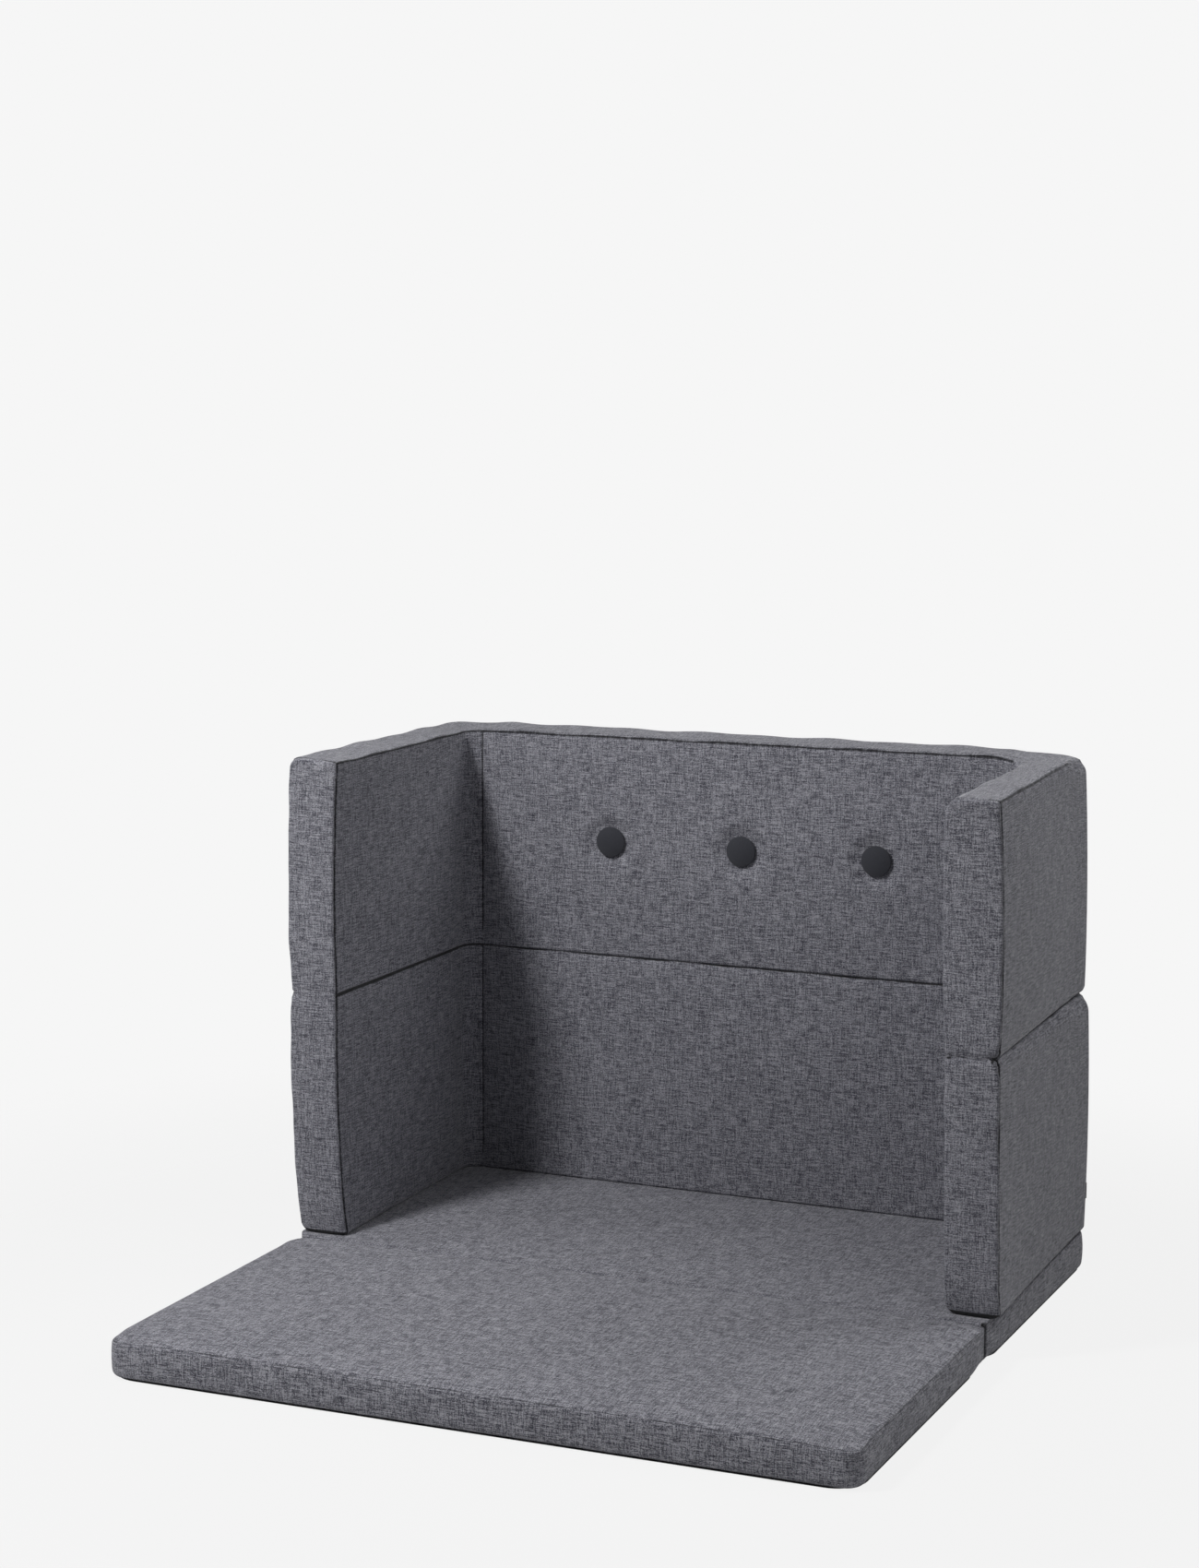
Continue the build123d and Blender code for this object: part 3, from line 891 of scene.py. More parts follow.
# The soft arms stand unevenly: the left foot is pulled in, the right foot pushed out
LEFT_LOWER = ArmLean((-5.3, 5.5, 5.5), (-6.0, 4.0, 5.0))
LEFT_UPPER = ArmLean((5.5, 8.0, 3.5), (5.0, 7.0, 1.5))
RIGHT_LOWER = ArmLean((10.5, 7.5, 5.0), (7.6, 4.5, 2.0))
RIGHT_UPPER = ArmLean((5.0, 6.5, 0.0), (2.0, -2.5, -2.0))


def arm_across(x: Array) -> Array:
    """Place across an arm: 0 at its inner face, 1 at its outer face."""
    return np.clip((np.abs(x) - frame_sizes.arm_inner_x) / (frame_sizes.half_width - frame_sizes.arm_inner_x), 0, 1)


def foot_tuck(z: Array, amount: float) -> Array:
    """How far the foot of an arm's front draws back near the mat, in metres."""
    reach = 46 * MM
    return amount * MM * np.clip(1 - (z - frame_sizes.lower[0]) / reach, 0, 1) ** 2


# Places along the wall at which an edge radius is given: left front, left arm twice, left rear corner,
# back twice, right rear corner, right arm twice, right front
EDGE_WAYS = (-1, -0.9, -0.58, -0.525, -0.47, 0.47, 0.525, 0.58, 0.9, 1)
# Net lines behind the arms' fronts and beside the back's inner corners, in millimetres
FRONT_LINES = (0, 1.1, 2.2, 3.4, 4.0, 4.6, 5.6, 7.5, 10.0, 13.5)
CORNER_LINES = (0, 0.7, 1.4, 2.2, 3.2, 4.6, 7.0)


@dataclass
class Edge:
    """Radii of a rounded edge at EDGE_WAYS, in millimetres, the net lines that turn round it, how much of
    it is painted dark as the shade of a slit, if it is the lip of one, and where along the wall its seam line ends.
    """

    radii: tuple[float, ...]
    steps: int = 6
    slit: tuple[float, ...] | None = None
    plain_from: float = 2.0

    def at(self, way: Array) -> Array:
        """Radius at places along the wall, in metres."""
        return np.interp(way, EDGE_WAYS, self.radii) * MM


@dataclass
class ProfileLine:
    """One net line along the wall.

    Attributes:
        zone: 0 inner face, 1 top, 2 outer face, 3 bottom.
        share: Place across (top and bottom) or up the face, from 0 to 1.
        edge: The edge that it turns round, or None.
        turn: Angle round that edge, from 0 on the face to a quarter turn on the top or bottom.
    """

    zone: int
    share: float
    edge: Edge | None = None
    turn: float = 0.0


@dataclass
class WallLevel:
    """One level of the wall: a padded U of two arms and a back in one fitted cover.

    Its skin is a ring of net lines (the profile) carried along stations from the left arm's front,
    round the back, to the right arm's front. Sizes are in millimetres.
    """

    name: str
    body: Body
    bottom: float
    top: float
    inner_bottom: Edge
    outer_bottom: Edge
    inner_top: Edge
    outer_top: Edge
    tufted: bool
    seed: float
    left_lean: ArmLean
    right_lean: ArmLean
    rear_lean: tuple[float, float, float]
    inner_top_drop: tuple[float, ...] = (0.0,) * 10
    outer_top_drop: tuple[float, ...] = (0.0,) * 10
    corner_fill: float = 0.0
    corner_fill_reach: float = 62.0
    inner_corner_radius: float = 20.0
    outer_corner_radius: float = 34.0
    rear_inset: float = 5.0
    spacing: float = 6.0
    fine_spacing: float = 2.6
    arm_inner_bow: float = 4.0
    arm_outer_bow: float = 4.0
    back_inner_bow: float = 5.0
    back_outer_bow: float = 3.0
    top_bow: float = 3.0
    front_tuck: float = 1.8
    tuck_reach: float = 3.4
    dimple_depth: float = 5.5
    dimple_radius: float = 42.0
    dimple_floor: float = 21.5
    pucker: float = 0.8
    pucker_folds: int = 9
    foot_tucks: tuple[float, float] = (4.0, 8.0)
    corner_fold_depth: float = 3.2
    corner_fold_width: float = 1.5
    wave: float = 0.6
    # Painted shade of slits: the seam value at the gap and how fast it fades up the lip
    slit_shade_middle: float = 1.1
    slit_shade_sharpness: float = 2.2
    front_lip: float = 0.9
    front_lip_place: float = 6.2
    front_lip_width: float = 1.7
    corner_steps: int = 26
    tuft_reach: float = 34.0
    pucker_start: float = 22.0
    pucker_reach: float = 11.0
    wave_reach: float = 22.0
    tuck_fade: float = 1.2
    front_seam_scale: float = 1.35
    front_seam_away: float = 0.4
    zip_fade: float = 24.0

    def plan(self) -> tuple[Array, Array, Array]:
        """Inner and outer plan points of the stations, and where each lies along the U.

        Returns:
            Inner points, outer points, and a number for each: -1 at the left arm's front, 0 at mid
            back, 1 at the right arm's front.
        """
        sizes = frame_sizes
        inner_r = self.inner_corner_radius * MM
        rear_x = sizes.half_width - self.rear_inset * MM
        turn_y = sizes.back_inner_y - inner_r
        lead = np.array(FRONT_LINES) * MM
        rest = graded(lead[-1] + sizes.arm_front_y, turn_y, self.spacing * MM, self.spacing * MM, (), 1)
        arm_y = np.concatenate([sizes.arm_front_y + lead[:-1], rest])
        share = (arm_y - sizes.arm_front_y) / (turn_y - sizes.arm_front_y)
        arm_inner = np.column_stack([np.full_like(arm_y, sizes.arm_inner_x), arm_y])
        arm_outer = np.column_stack([rear_x + self.rear_inset * MM * (1 - share) ** 1.4, arm_y])
        count = self.corner_steps
        turn = np.linspace(0, math.pi / 2, count + 1)[1:-1]
        corner_inner = np.column_stack([
            sizes.arm_inner_x - inner_r + inner_r * np.cos(turn),
            turn_y + inner_r * np.sin(turn),
        ])
        corner_outer = self.outer_corner(rear_x, turn_y)
        end_x = sizes.arm_inner_x - inner_r
        centres = sizes.button_places if self.tufted else ()
        near = np.array(CORNER_LINES) * MM
        back_x = graded(-end_x + near[-1], end_x - near[-1], self.spacing * MM, self.fine_spacing * MM, centres,
                        self.tuft_reach * MM)
        back_x = np.concatenate([-end_x + near[:-1], back_x, (end_x - near[:-1])[::-1]])
        back_inner = np.column_stack([back_x, np.full_like(back_x, sizes.back_inner_y)])
        outer_end = rear_x - self.outer_corner_radius * MM - self.corner_run(rear_x)
        back_outer = np.column_stack([back_x * outer_end / end_x, np.full_like(back_x, sizes.back_y)])
        mirror = np.array([-1, 1])
        inner = np.concatenate([arm_inner * mirror, corner_inner * mirror, back_inner,
                                corner_inner[::-1], arm_inner[::-1]])
        outer = np.concatenate([arm_outer * mirror, corner_outer * mirror, back_outer,
                                corner_outer[::-1], arm_outer[::-1]])
        arm_way = 1 - 0.45 * share
        corner_way = 0.55 - 0.05 * (np.arange(1, count) / count)
        back_way = 0.5 * back_x / end_x
        way = np.concatenate([-arm_way, -corner_way, back_way, corner_way[::-1], arm_way[::-1]])
        return inner, outer, way

    def corner_run(self, rear_x: float) -> float:
        """Straight length of the outer path after its corner, up to the end of the inner corner."""
        return rear_x - self.outer_corner_radius * MM - (frame_sizes.arm_inner_x - self.inner_corner_radius * MM)

    def outer_corner(self, rear_x: float, turn_y: float) -> Array:
        """Plan points of the outer path round the right rear corner, evenly spread.

        Args:
            rear_x: Outer face of the arm at the rear.
            turn_y: Depth at which the inner corner starts.

        Returns:
            The points between the two ends.
        """
        back_y, outer_r = frame_sizes.back_y, self.outer_corner_radius * MM
        lengths = np.array([back_y - outer_r - turn_y, math.pi / 2 * outer_r, self.corner_run(rear_x)])
        points = []
        for reach in np.linspace(0, lengths.sum(), self.corner_steps + 1)[1:-1]:
            if reach < lengths[0]:
                points.append((rear_x, turn_y + reach))
                continue
            angle = min((reach - lengths[0]) / outer_r, math.pi / 2)
            after = max(reach - lengths[0] - lengths[1], 0)
            points.append((rear_x - outer_r + outer_r * math.cos(angle) - after,
                           back_y - outer_r + outer_r * math.sin(angle)))
        return np.array(points)

    def profile(self) -> list[ProfileLine]:
        """The ring of net lines round the section: inner face, top, outer face, bottom."""
        height = (self.top - self.bottom) / MM
        button = (frame_sizes.button_z - self.bottom) / MM
        plain = graded(0, height, self.spacing, self.spacing, (), 1) / height
        tufts = plain
        if self.tufted:
            tufts = graded(0, height, self.spacing, self.fine_spacing, (button,), self.tuft_reach) / height
        quarter = math.pi / 2

        def arc(edge: Edge, face: int, level: int, leaving_face: bool) -> list[ProfileLine]:
            """Lines round one edge, between a face and the top or bottom."""
            turns = [quarter * at / edge.steps for at in range(edge.steps + 1)]
            turns = turns if leaving_face else turns[::-1]
            share = 0.0 if face == 0 else 1.0
            return [ProfileLine(face if turn < quarter / 2 else level, share, edge, turn) for turn in turns]

        across = [at / 9 for at in range(1, 9)]
        lines = [ProfileLine(0, share) for share in tufts[1:-1]]
        lines += arc(self.inner_top, 0, 1, True)
        lines += [ProfileLine(1, share) for share in across]
        lines += arc(self.outer_top, 2, 1, False)
        lines += [ProfileLine(2, share) for share in plain[1:-1][::-1]]
        lines += arc(self.outer_bottom, 2, 3, True)
        lines += [ProfileLine(3, share) for share in across[::-1]]
        lines += arc(self.inner_bottom, 0, 3, False)
        return lines

    def surface(self) -> tuple[Surface, dict[str, Array]]:
        """Carries the profile along the plan.

        Returns:
            The surface, and for each point its place along the U, its zone, how far up the level it
            is, from -1 to 1, and its distance from the upright folds of the inner corners.
        """
        inner, outer, way = self.plan()
        lines = self.profile()
        thickness = np.linalg.norm(outer - inner, axis=1)
        across = (outer - inner) / thickness[:, None]
        edges = self.inner_top, self.outer_top, self.inner_bottom, self.outer_bottom
        it, ot, ib, ob = (edge.at(way) for edge in edges)
        reach, heights, seams = [], [], []
        for line in lines:
            if line.edge is not None:
                radius = line.edge.at(way)
                inset, drop = radius * (1 - math.cos(line.turn)), radius * (1 - math.sin(line.turn))
                upper = line.edge in (self.inner_top, self.outer_top)
                reach.append(inset if line.share < 0.5 else thickness - inset)
                heights.append(self.top - drop if upper else self.bottom + drop)
                # A slit's lips get painted shade: dark up to the given height from the gap
                if line.edge.slit:
                    slit = np.interp(way, EDGE_WAYS, line.edge.slit)
                    seams.append(self.slit_shade_middle + self.slit_shade_sharpness * (drop / MM - slit))
                    continue
                away = radius * abs(line.turn - math.pi / 4) / MM
                seams.append(away + PLAIN_SEAM * smooth_step(line.edge.plain_from - 0.06, line.edge.plain_from, way))
            elif line.zone in (1, 3):
                first, last = (it, ot) if line.zone == 1 else (ib, ob)
                reach.append(first + line.share * (thickness - first - last))
                heights.append(np.full_like(way, self.top if line.zone == 1 else self.bottom))
                seams.append(np.minimum(reach[-1], thickness - reach[-1]) / MM)
            else:
                low, high = (ib, it) if line.zone == 0 else (ob, ot)
                start, end = self.bottom + low, self.top - high
                heights.append(start + line.share * (end - start))
                reach.append(thickness * (line.zone == 2))
                seams.append(np.minimum(heights[-1] - self.bottom, self.top - heights[-1]) / MM)
        reach, heights, seams = (np.stack(values, 1) for values in (reach, heights, seams))
        # Dark line behind the arm's front where the panel's edge meets the wall: partly a seam, partly painted shade of
        # the groove
        behind = self.front_distance(inner)
        front_seam = self.front_seam_scale * np.abs(behind / MM - self.tuck_reach - self.front_seam_away)
        hidden = np.array([PLAIN_SEAM if line.zone in (0, 1) and line.share < 0.7 else 0.0 for line in lines])
        seams = np.minimum(seams, front_seam[:, None] + (way > 0)[:, None] * hidden)
        untucked = smooth_step(self.tuck_reach * MM, (self.tuck_reach + self.tuck_fade) * MM, behind)
        tuck = (1 - untucked) * self.front_tuck * MM
        reach = reach + tuck[:, None] * (1 - 2 * reach / thickness[:, None])
        middle, half = (self.bottom + self.top) / 2, (self.top - self.bottom) / 2
        rise = (heights - middle) / half
        heights = heights - tuck[:, None] * rise
        fill = self.corner_fill * MM * self.corner_share(inner, way)[:, None] * smooth_step(-0.4, 0.9, rise)
        reach = reach - fill * (1 - reach / thickness[:, None])
        plan = inner[:, None] + across[:, None] * reach[..., None]
        grid = np.concatenate([plan, heights[..., None]], -1)
        zone = np.array([line.zone for line in lines])
        steps = running_length(inner)
        folds = [steps[np.abs(way + side * 0.5).argmin()] for side in (-1, 1)]
        to_fold = np.minimum(*(np.abs(steps - fold) for fold in folds)) / MM
        count = len(lines)
        facts = {"way": np.repeat(way, count), "zone": np.tile(zone, len(way)), "rise": rise.reshape(-1),
                 "across": (reach / thickness[:, None]).reshape(-1), "fold": np.repeat(to_fold, count)}
        index = np.arange(rise.size).reshape(rise.shape)
        following = np.roll(index, -1, axis=1)
        quads = np.stack([index[:-1], index[1:], following[1:], following[:-1]], -1).reshape(-1, 4)
        uvs = self.cloth_coordinates(inner, outer, grid, zone)
        return Surface(grid.reshape(-1, 3), quads, uvs, seams.reshape(-1)), facts

    def corner_share(self, inner: Array, way: Array) -> Array:
        """Share of the fill that bridges the right inner corner, by distance along the wall."""
        steps = running_length(inner)
        away = np.abs(steps - steps[np.abs(way - 0.525).argmin()]) / MM
        return np.clip(1 - away / self.corner_fill_reach, 0, 1) ** 1.7

    def front_distance(self, inner: Array) -> Array:
        """Distance of each station from the arm's front."""
        on_arm = np.abs(inner[:, 0]) > frame_sizes.arm_inner_x - 1 * MM
        return np.where(on_arm, inner[:, 1] - frame_sizes.arm_front_y, 1.0)

    def cloth_coordinates(self, inner: Array, outer: Array, grid: Array,
                          zone: Array) -> Array:
        """Lays the cloth along the U, by each zone's own path, and round the section.

        Args:
            inner: Inner plan points of the stations.
            outer: Their outer plan points.
            grid: Points by station and net line.
            zone: Zone of each net line.

        Returns:
            Cloth coordinates of each face corner, in metres.
        """
        def lengths(path: Array) -> Array:
            """Running length of a plan path, from its middle."""
            steps = running_length(path)
            return steps - steps[-1] / 2

        paths = np.stack([lengths(inner), lengths((inner + outer) / 2), lengths(outer), lengths((inner + outer) / 2)])
        section = grid[len(grid) // 2]
        around = np.concatenate([[0], np.cumsum(np.linalg.norm(np.diff(section, axis=0, append=section[:1]), axis=1))])
        u = paths[zone]
        start, end = u[:, :-1].T, u[:, 1:].T
        low, high = np.broadcast_to(around[:-1][None], start.shape), np.broadcast_to(around[1:][None], start.shape)
        corners = [(start, low), (end, low), (end, high), (start, high)]
        return np.stack([np.stack(corner, -1) for corner in corners], 2).reshape(-1, 4, 2)

    def build(self, finishes: Finishes) -> Object:
        """Makes the fitted cover of the level.

        Args:
            finishes: The sofa's finishes.

        Returns:
            The cover.
        """
        surface, facts = self.surface()
        surface.turned_outwards()
        self.soften(surface, facts)
        piece = surface.to_object(f"{self.name}_surround_fitted_cover", finishes.cloth)
        # The two arm ends under the front panels
        mend(piece.data, fill=True)
        parts = f"left_{self.name}_arm", f"{self.name}_back", f"right_{self.name}_arm"
        dress(piece, self.body, tuple(f"{part}_cover" for part in parts))
        return piece

    def soften(self, surface: Surface, facts: dict[str, Array]) -> None:
        """Bows the faces, waves the cloth along its seams, sinks the tufts and folds the inner corners, with painted
        shade in the folds.

        Args:
            surface: The skin, changed in place.
            facts: What surface() tells of each point.
        """
        way, zone, rise = facts["way"], facts["zone"], facts["rise"]
        upright = np.clip(1 - rise ** 2, 0, 1)
        along_arm = np.clip((np.abs(way) - 0.55) / 0.45, 0, 1)
        arm_share = np.clip(1 - (2 * along_arm - 1) ** 2, 0, 1) * (np.abs(way) > 0.55)
        back_share = np.clip(1 - (way / 0.5) ** 2, 0, 1) * (np.abs(way) < 0.5)
        inner, outer, top = (zone == 0), (zone == 2), (zone == 1)
        lift = inner * upright * (self.arm_inner_bow * arm_share + self.back_inner_bow * back_share)
        lift = lift + outer * upright * (self.arm_outer_bow * arm_share + self.back_outer_bow * back_share)
        x, y, z = surface.points.T
        if self.tufted:
            lift = lift + inner * self.tuft_depth(x, z) * (np.abs(way) < 0.5)
        fade = np.exp(-surface.seam / self.wave_reach) * smooth_step(0.2, 5, surface.seam)
        waves = ripple(x + 1.3 * y, (84, 51, 33), self.seed)
        lift = lift + (inner | outer) * fade * self.wave * waves
        rolled = (way > self.inner_top.plain_from) & (facts["across"] < 0.5)
        raised = np.where(rolled, np.clip(surface.normals()[:, 2], 0, 1), top)
        lift = lift + raised * self.top_bow * (0.6 + 0.4 * ripple(x + y, (160, 90), self.seed))
        to_front = (y - frame_sizes.arm_front_y) / MM
        lip = np.exp(-((to_front - self.front_lip_place) / self.front_lip_width) ** 2)
        lift = lift + (inner & (x < 0)) * self.front_lip * lip * (np.abs(way) > 0.55)
        lift = lift - self.corner_fold(surface, facts)
        surface.push(lift)
        self.lean(surface, facts)
        surface.points = zip_seat(surface.points, f"{self.name}_back_zip", self.zip_fade)

    def lean(self, surface: Surface, facts: dict[str, Array]) -> None:
        """Lets the top sag and the foot spread, as they do on the soft wall.

        Args:
            surface: The skin, changed in place.
            facts: What surface() tells of each point.
        """
        x, y, z = surface.points.T
        sizes = frame_sizes
        share = np.clip((z - self.bottom) / (self.top - self.bottom), 0, 1)
        drops = self.inner_top_drop, self.outer_top_drop
        inner, outer = (np.interp(facts["way"], EDGE_WAYS, drop) for drop in drops)
        dropped = z - (inner + (outer - inner) * facts["across"]) * MM * share ** 2
        arm = smooth_step(0.6, 0.85, np.abs(x) / sizes.half_width)
        back = np.clip((y - sizes.arm_front_y) / (sizes.back_inner_y - sizes.arm_front_y), 0, 1)
        at = share, arm_across(x)
        front_shift = np.where(x < 0, -self.left_lean.at(*at), self.right_lean.at(*at))
        rear_shift = (x > 0) * ArmLean(self.rear_lean, self.rear_lean).at(*at)
        moved = x + arm * (front_shift * (1 - back) ** 1.4 + rear_shift * smooth_step(0.2, 1, back)) * MM
        near_front = smooth_step(90 * MM, 10 * MM, y - sizes.arm_front_y) if not self.tufted else 0
        left_tuck, right_tuck = (foot_tuck(z, amount) for amount in self.foot_tucks)
        y = y + near_front * arm * np.where(x < 0, left_tuck, right_tuck)
        surface.points = np.column_stack([moved, y, dropped])

    def corner_fold(self, surface: Surface, facts: dict[str, Array]) -> Array:
        """Folds the cloth where the arms meet the back, and paints shade into the folds there.

        Args:
            surface: The skin, whose seam distances change.
            facts: What surface() tells of each point.

        Returns:
            Depth of the folds at each point, in millimetres.
        """
        far = facts["fold"]
        strength = (facts["zone"] == 0) * smooth_step(-0.93, -0.78, facts["rise"]) * (0.75 if self.tufted else 0.5)
        filled = (facts["way"] > 0) if self.corner_fill else 0
        strength = strength * (1 - filled * smooth_step(0.0, 0.6, facts["rise"]))
        # Painted shade: darker towards the fold line
        corner_fold_shade = np.minimum(surface.seam, far / np.maximum(strength, 0.02))
        surface.seam = np.where(strength > 0.05, corner_fold_shade, surface.seam)
        return strength * np.exp(-(far / self.corner_fold_width) ** 2) * self.corner_fold_depth

    def tuft_depth(self, x: Array, z: Array) -> Array:
        """How far the tufts draw the cloth in, with puckers that run out from each button.

        Args:
            x: Widths of the points.
            z: Their heights.

        Returns:
            Lift of each point, in millimetres: below 0 where it is drawn in.
        """
        total = np.zeros_like(x)
        for number, place in enumerate(frame_sizes.button_places):
            away_x, away_z = (x - place) / MM, (z - frame_sizes.button_z) / MM
            away = np.hypot(away_x, away_z)
            turn = np.arctan2(away_z, away_x)
            sunk = 1 - smooth_step(self.dimple_floor, self.dimple_radius, away)
            ripples = np.cos(self.pucker_folds * turn + 1.3 * number) + 0.6 * np.cos(5 * turn + 2 * number + 1)
            reach = smooth_step(self.dimple_floor - 3, self.dimple_floor + 6, away)
            reach = reach * np.exp(-np.clip(away - self.pucker_start, 0, None) / self.pucker_reach)
            total -= self.dimple_depth * sunk + self.pucker * ripples * reach
        return total


@dataclass
class FrontPanel:
    """Front cloth of an arm, from the mat to the top, that bends over the crease. Sizes are in millimetres."""

    side: str
    lower_lean: ArmLean
    upper_lean: ArmLean
    corner_radii: tuple[float, float, float, float]
    pinch: float
    outer_pinch: float
    waist: float
    wrinkles: float
    top_drop: tuple[float, float]
    foot_tuck: float
    foot_shadow_height: float
    crease_shade_line: float
    plain_inside: bool
    seed: float
    pillow: float = 1.6
    seam_scale: float = 1.35
    wrap: float = 3.4
    edge_radius: float = 3.2
    fold_width: float = 5.0
    bend_reach: float = 5.0
    thickness: float = 1.0
    spacing: float = 2.0
    box_depth: float = 14.0
    wrinkle_places: tuple[float, float] = (4.0, -4.5)
    wrinkle_width: float = 1.6
    wave: float = 0.5
    waist_reach: float = 15.0
    side_wander: float = 0.9
    crease_wander: float = 1.3
    crease_floor: float = 0.35
    foot_shadow_middle: float = 1.1
    foot_shadow_sharpness: float = 2.2

    def build(self, finishes: Finishes) -> None:
        """Makes the panel over both levels, on no body.

        Args:
            finishes: The sofa's finishes.
        """
        sizes = frame_sizes
        sign = -1 if self.side == "left" else 1
        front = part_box(f"{self.side}_hinge_lower_flap")[0].y
        edges = sorted((sign * sizes.arm_inner_x, sign * sizes.half_width))
        radii = tuple(radius * MM for radius in self.corner_radii)
        low, high = Vector((edges[0], sizes.lower[0], -self.box_depth * MM)), Vector((edges[1], sizes.upper[1], 0))
        shape = RoundedBox(low, high, radii, self.edge_radius * MM, 1 * MM, self.spacing * MM)
        surface = shape.surface()
        across, up, depth = surface.points.T
        surface.points = np.column_stack([across, front - depth, up])
        surface = self.cut(surface, front)
        self.crumple(surface, sign, edges, front)
        piece = surface.to_object(f"{self.side}_arm_front_panel", finishes.cloth)
        thicken(piece, self.thickness * MM)
        dress(piece, None, (f"{self.side}_hinge_lower_flap", f"{self.side}_hinge_upper_flap"))
        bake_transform(piece)

    def cut(self, surface: Surface, front: float) -> Surface:
        """Keeps the front face and the narrow wrap round its sides, facing forwards.

        Args:
            surface: The whole rounded box.
            front: Depth of the front face, in metres.

        Returns:
            The part that is kept.
        """
        keep = (surface.points[surface.quads][:, :, 1] < front + self.wrap * MM + 1e-6).all(1)
        quads, uvs = surface.quads[keep], surface.uvs[keep]
        used = np.unique(quads)
        number = np.full(len(surface.points), -1)
        number[used] = np.arange(len(used))
        surface = Surface(surface.points[used], number[quads], uvs, surface.seam[used])
        if surface.normals()[:, 1].mean() > 0:
            surface.quads, surface.uvs = surface.quads[:, ::-1].copy(), surface.uvs[:, ::-1].copy()
        return surface

    def crumple(self, surface: Surface, sign: int, edges: list[float], front: float) -> None:
        """Pinches the cloth at the crease, lets it wander between its seams, and sets where it is painted darker: its
        edge seams, painted shade along the crease and painted shadow under its foot.

        Args:
            surface: The panel, changed in place.
            sign: -1 for the left arm, 1 for the right one.
            edges: Widths of the panel's two sides.
            front: Depth of its face.
        """
        sizes = frame_sizes
        x, y, z = surface.points.T
        outward = sign * (x - sum(edges) / 2) / ((edges[1] - edges[0]) / 2)
        away = (z - sizes.crease) / MM
        near = np.exp(-(away / self.fold_width) ** 2)
        depth = near * (self.pinch + self.outer_pinch * np.clip(outward, 0, 1) ** 4)
        faint = sum(np.exp(-((away - place) / self.wrinkle_width) ** 2) for place in self.wrinkle_places)
        depth += self.wrinkles * faint * (1 - np.abs(outward) ** 3) * (0.7 + 0.3 * np.sin(x / MM / 5))
        depth += self.wave * ripple(z + 0.2 * x, (130, 74, 47), self.seed) - self.pillow * (1 - outward ** 2)
        surface.push(-depth)
        x, y, z = surface.points.T
        across = arm_across(x)
        lower, upper = (np.clip((z - low) / (high - low), 0, 1) for low, high in (sizes.lower, sizes.upper))
        drop = self.top_drop[0] + (self.top_drop[1] - self.top_drop[0]) * across
        lean = np.where(z < sizes.crease, self.lower_lean.at(lower, across), self.upper_lean.at(upper, across))
        narrow = self.waist * np.exp(-(away / self.waist_reach) ** 2) * np.clip(outward, 0, 1) ** 3
        wander = self.side_wander * ripple(z, (170, 95), self.seed + 3) * np.clip(outward, 0, 1) ** 3
        surface.points = np.column_stack([x + sign * (lean - narrow + wander) * MM, y + foot_tuck(z, self.foot_tuck),
                                          z - drop * MM * upper ** 2])
        # Dark line at the panel's edges: partly its seam, partly painted shade of the groove beside the wall
        to_edge = self.seam_scale * np.clip((front + self.wrap * MM - y) / MM, 0, 30)
        if self.plain_inside:
            seamed = smooth_step(0.3, 0.7, outward) * smooth_step(-20, -34, (z - sizes.upper[1]) / MM)
            to_edge = to_edge + PLAIN_SEAM * (1 - seamed)
        # Painted shade along the crease, as a wandering dark line
        wandering = away - self.crease_wander * ripple(x, (47, 23), self.seed)
        to_crease_shade = self.crease_floor + np.abs(wandering) / max(self.crease_shade_line, 1e-3)
        # Painted shadow of the gap under the foot: the panel is darkened over its lowest few millimetres
        to_foot_shadow = self.foot_shadow_middle + self.foot_shadow_sharpness * ((z - sizes.lower[0]) / MM - self.foot_shadow_height)
        surface.seam = np.minimum(np.minimum(to_edge, to_crease_shade), to_foot_shadow)


def mend(mesh: Mesh, fill: bool = False, turn: bool = False) -> None:
    """Mends a mesh in place.

    Args:
        mesh: The mesh.
        fill: True to close its open ends.
        turn: True to turn every face outwards.
    """
    work = bmesh.new()
    work.from_mesh(mesh)
    if fill:
        bmesh.ops.holes_fill(work, edges=[edge for edge in work.edges if edge.is_boundary], sides=0)
    if turn:
        bmesh.ops.recalc_face_normals(work, faces=work.faces)
    work.to_mesh(mesh)
    work.free()


def thicken(piece: Object, amount: float) -> None:
    """Gives a sheet its thickness, inwards, and keeps the result as its mesh.

    Args:
        piece: The object.
        amount: Thickness in metres.
    """
    solidify = piece.modifiers.new("thickness", "SOLIDIFY")
    solidify.thickness = amount
    solidify.offset = -1
    keep_modified(piece)


def keep_modified(piece: Object) -> None:
    """Turns a piece and its modifiers into a plain mesh.

    Args:
        piece: The object, changed in place.
    """
    bpy.context.view_layer.update()
    evaluated = piece.evaluated_get(bpy.context.evaluated_depsgraph_get())
    mesh = bpy.data.meshes.new_from_object(evaluated)
    mesh.name = piece.name
    piece.modifiers.clear()
    piece.data = mesh


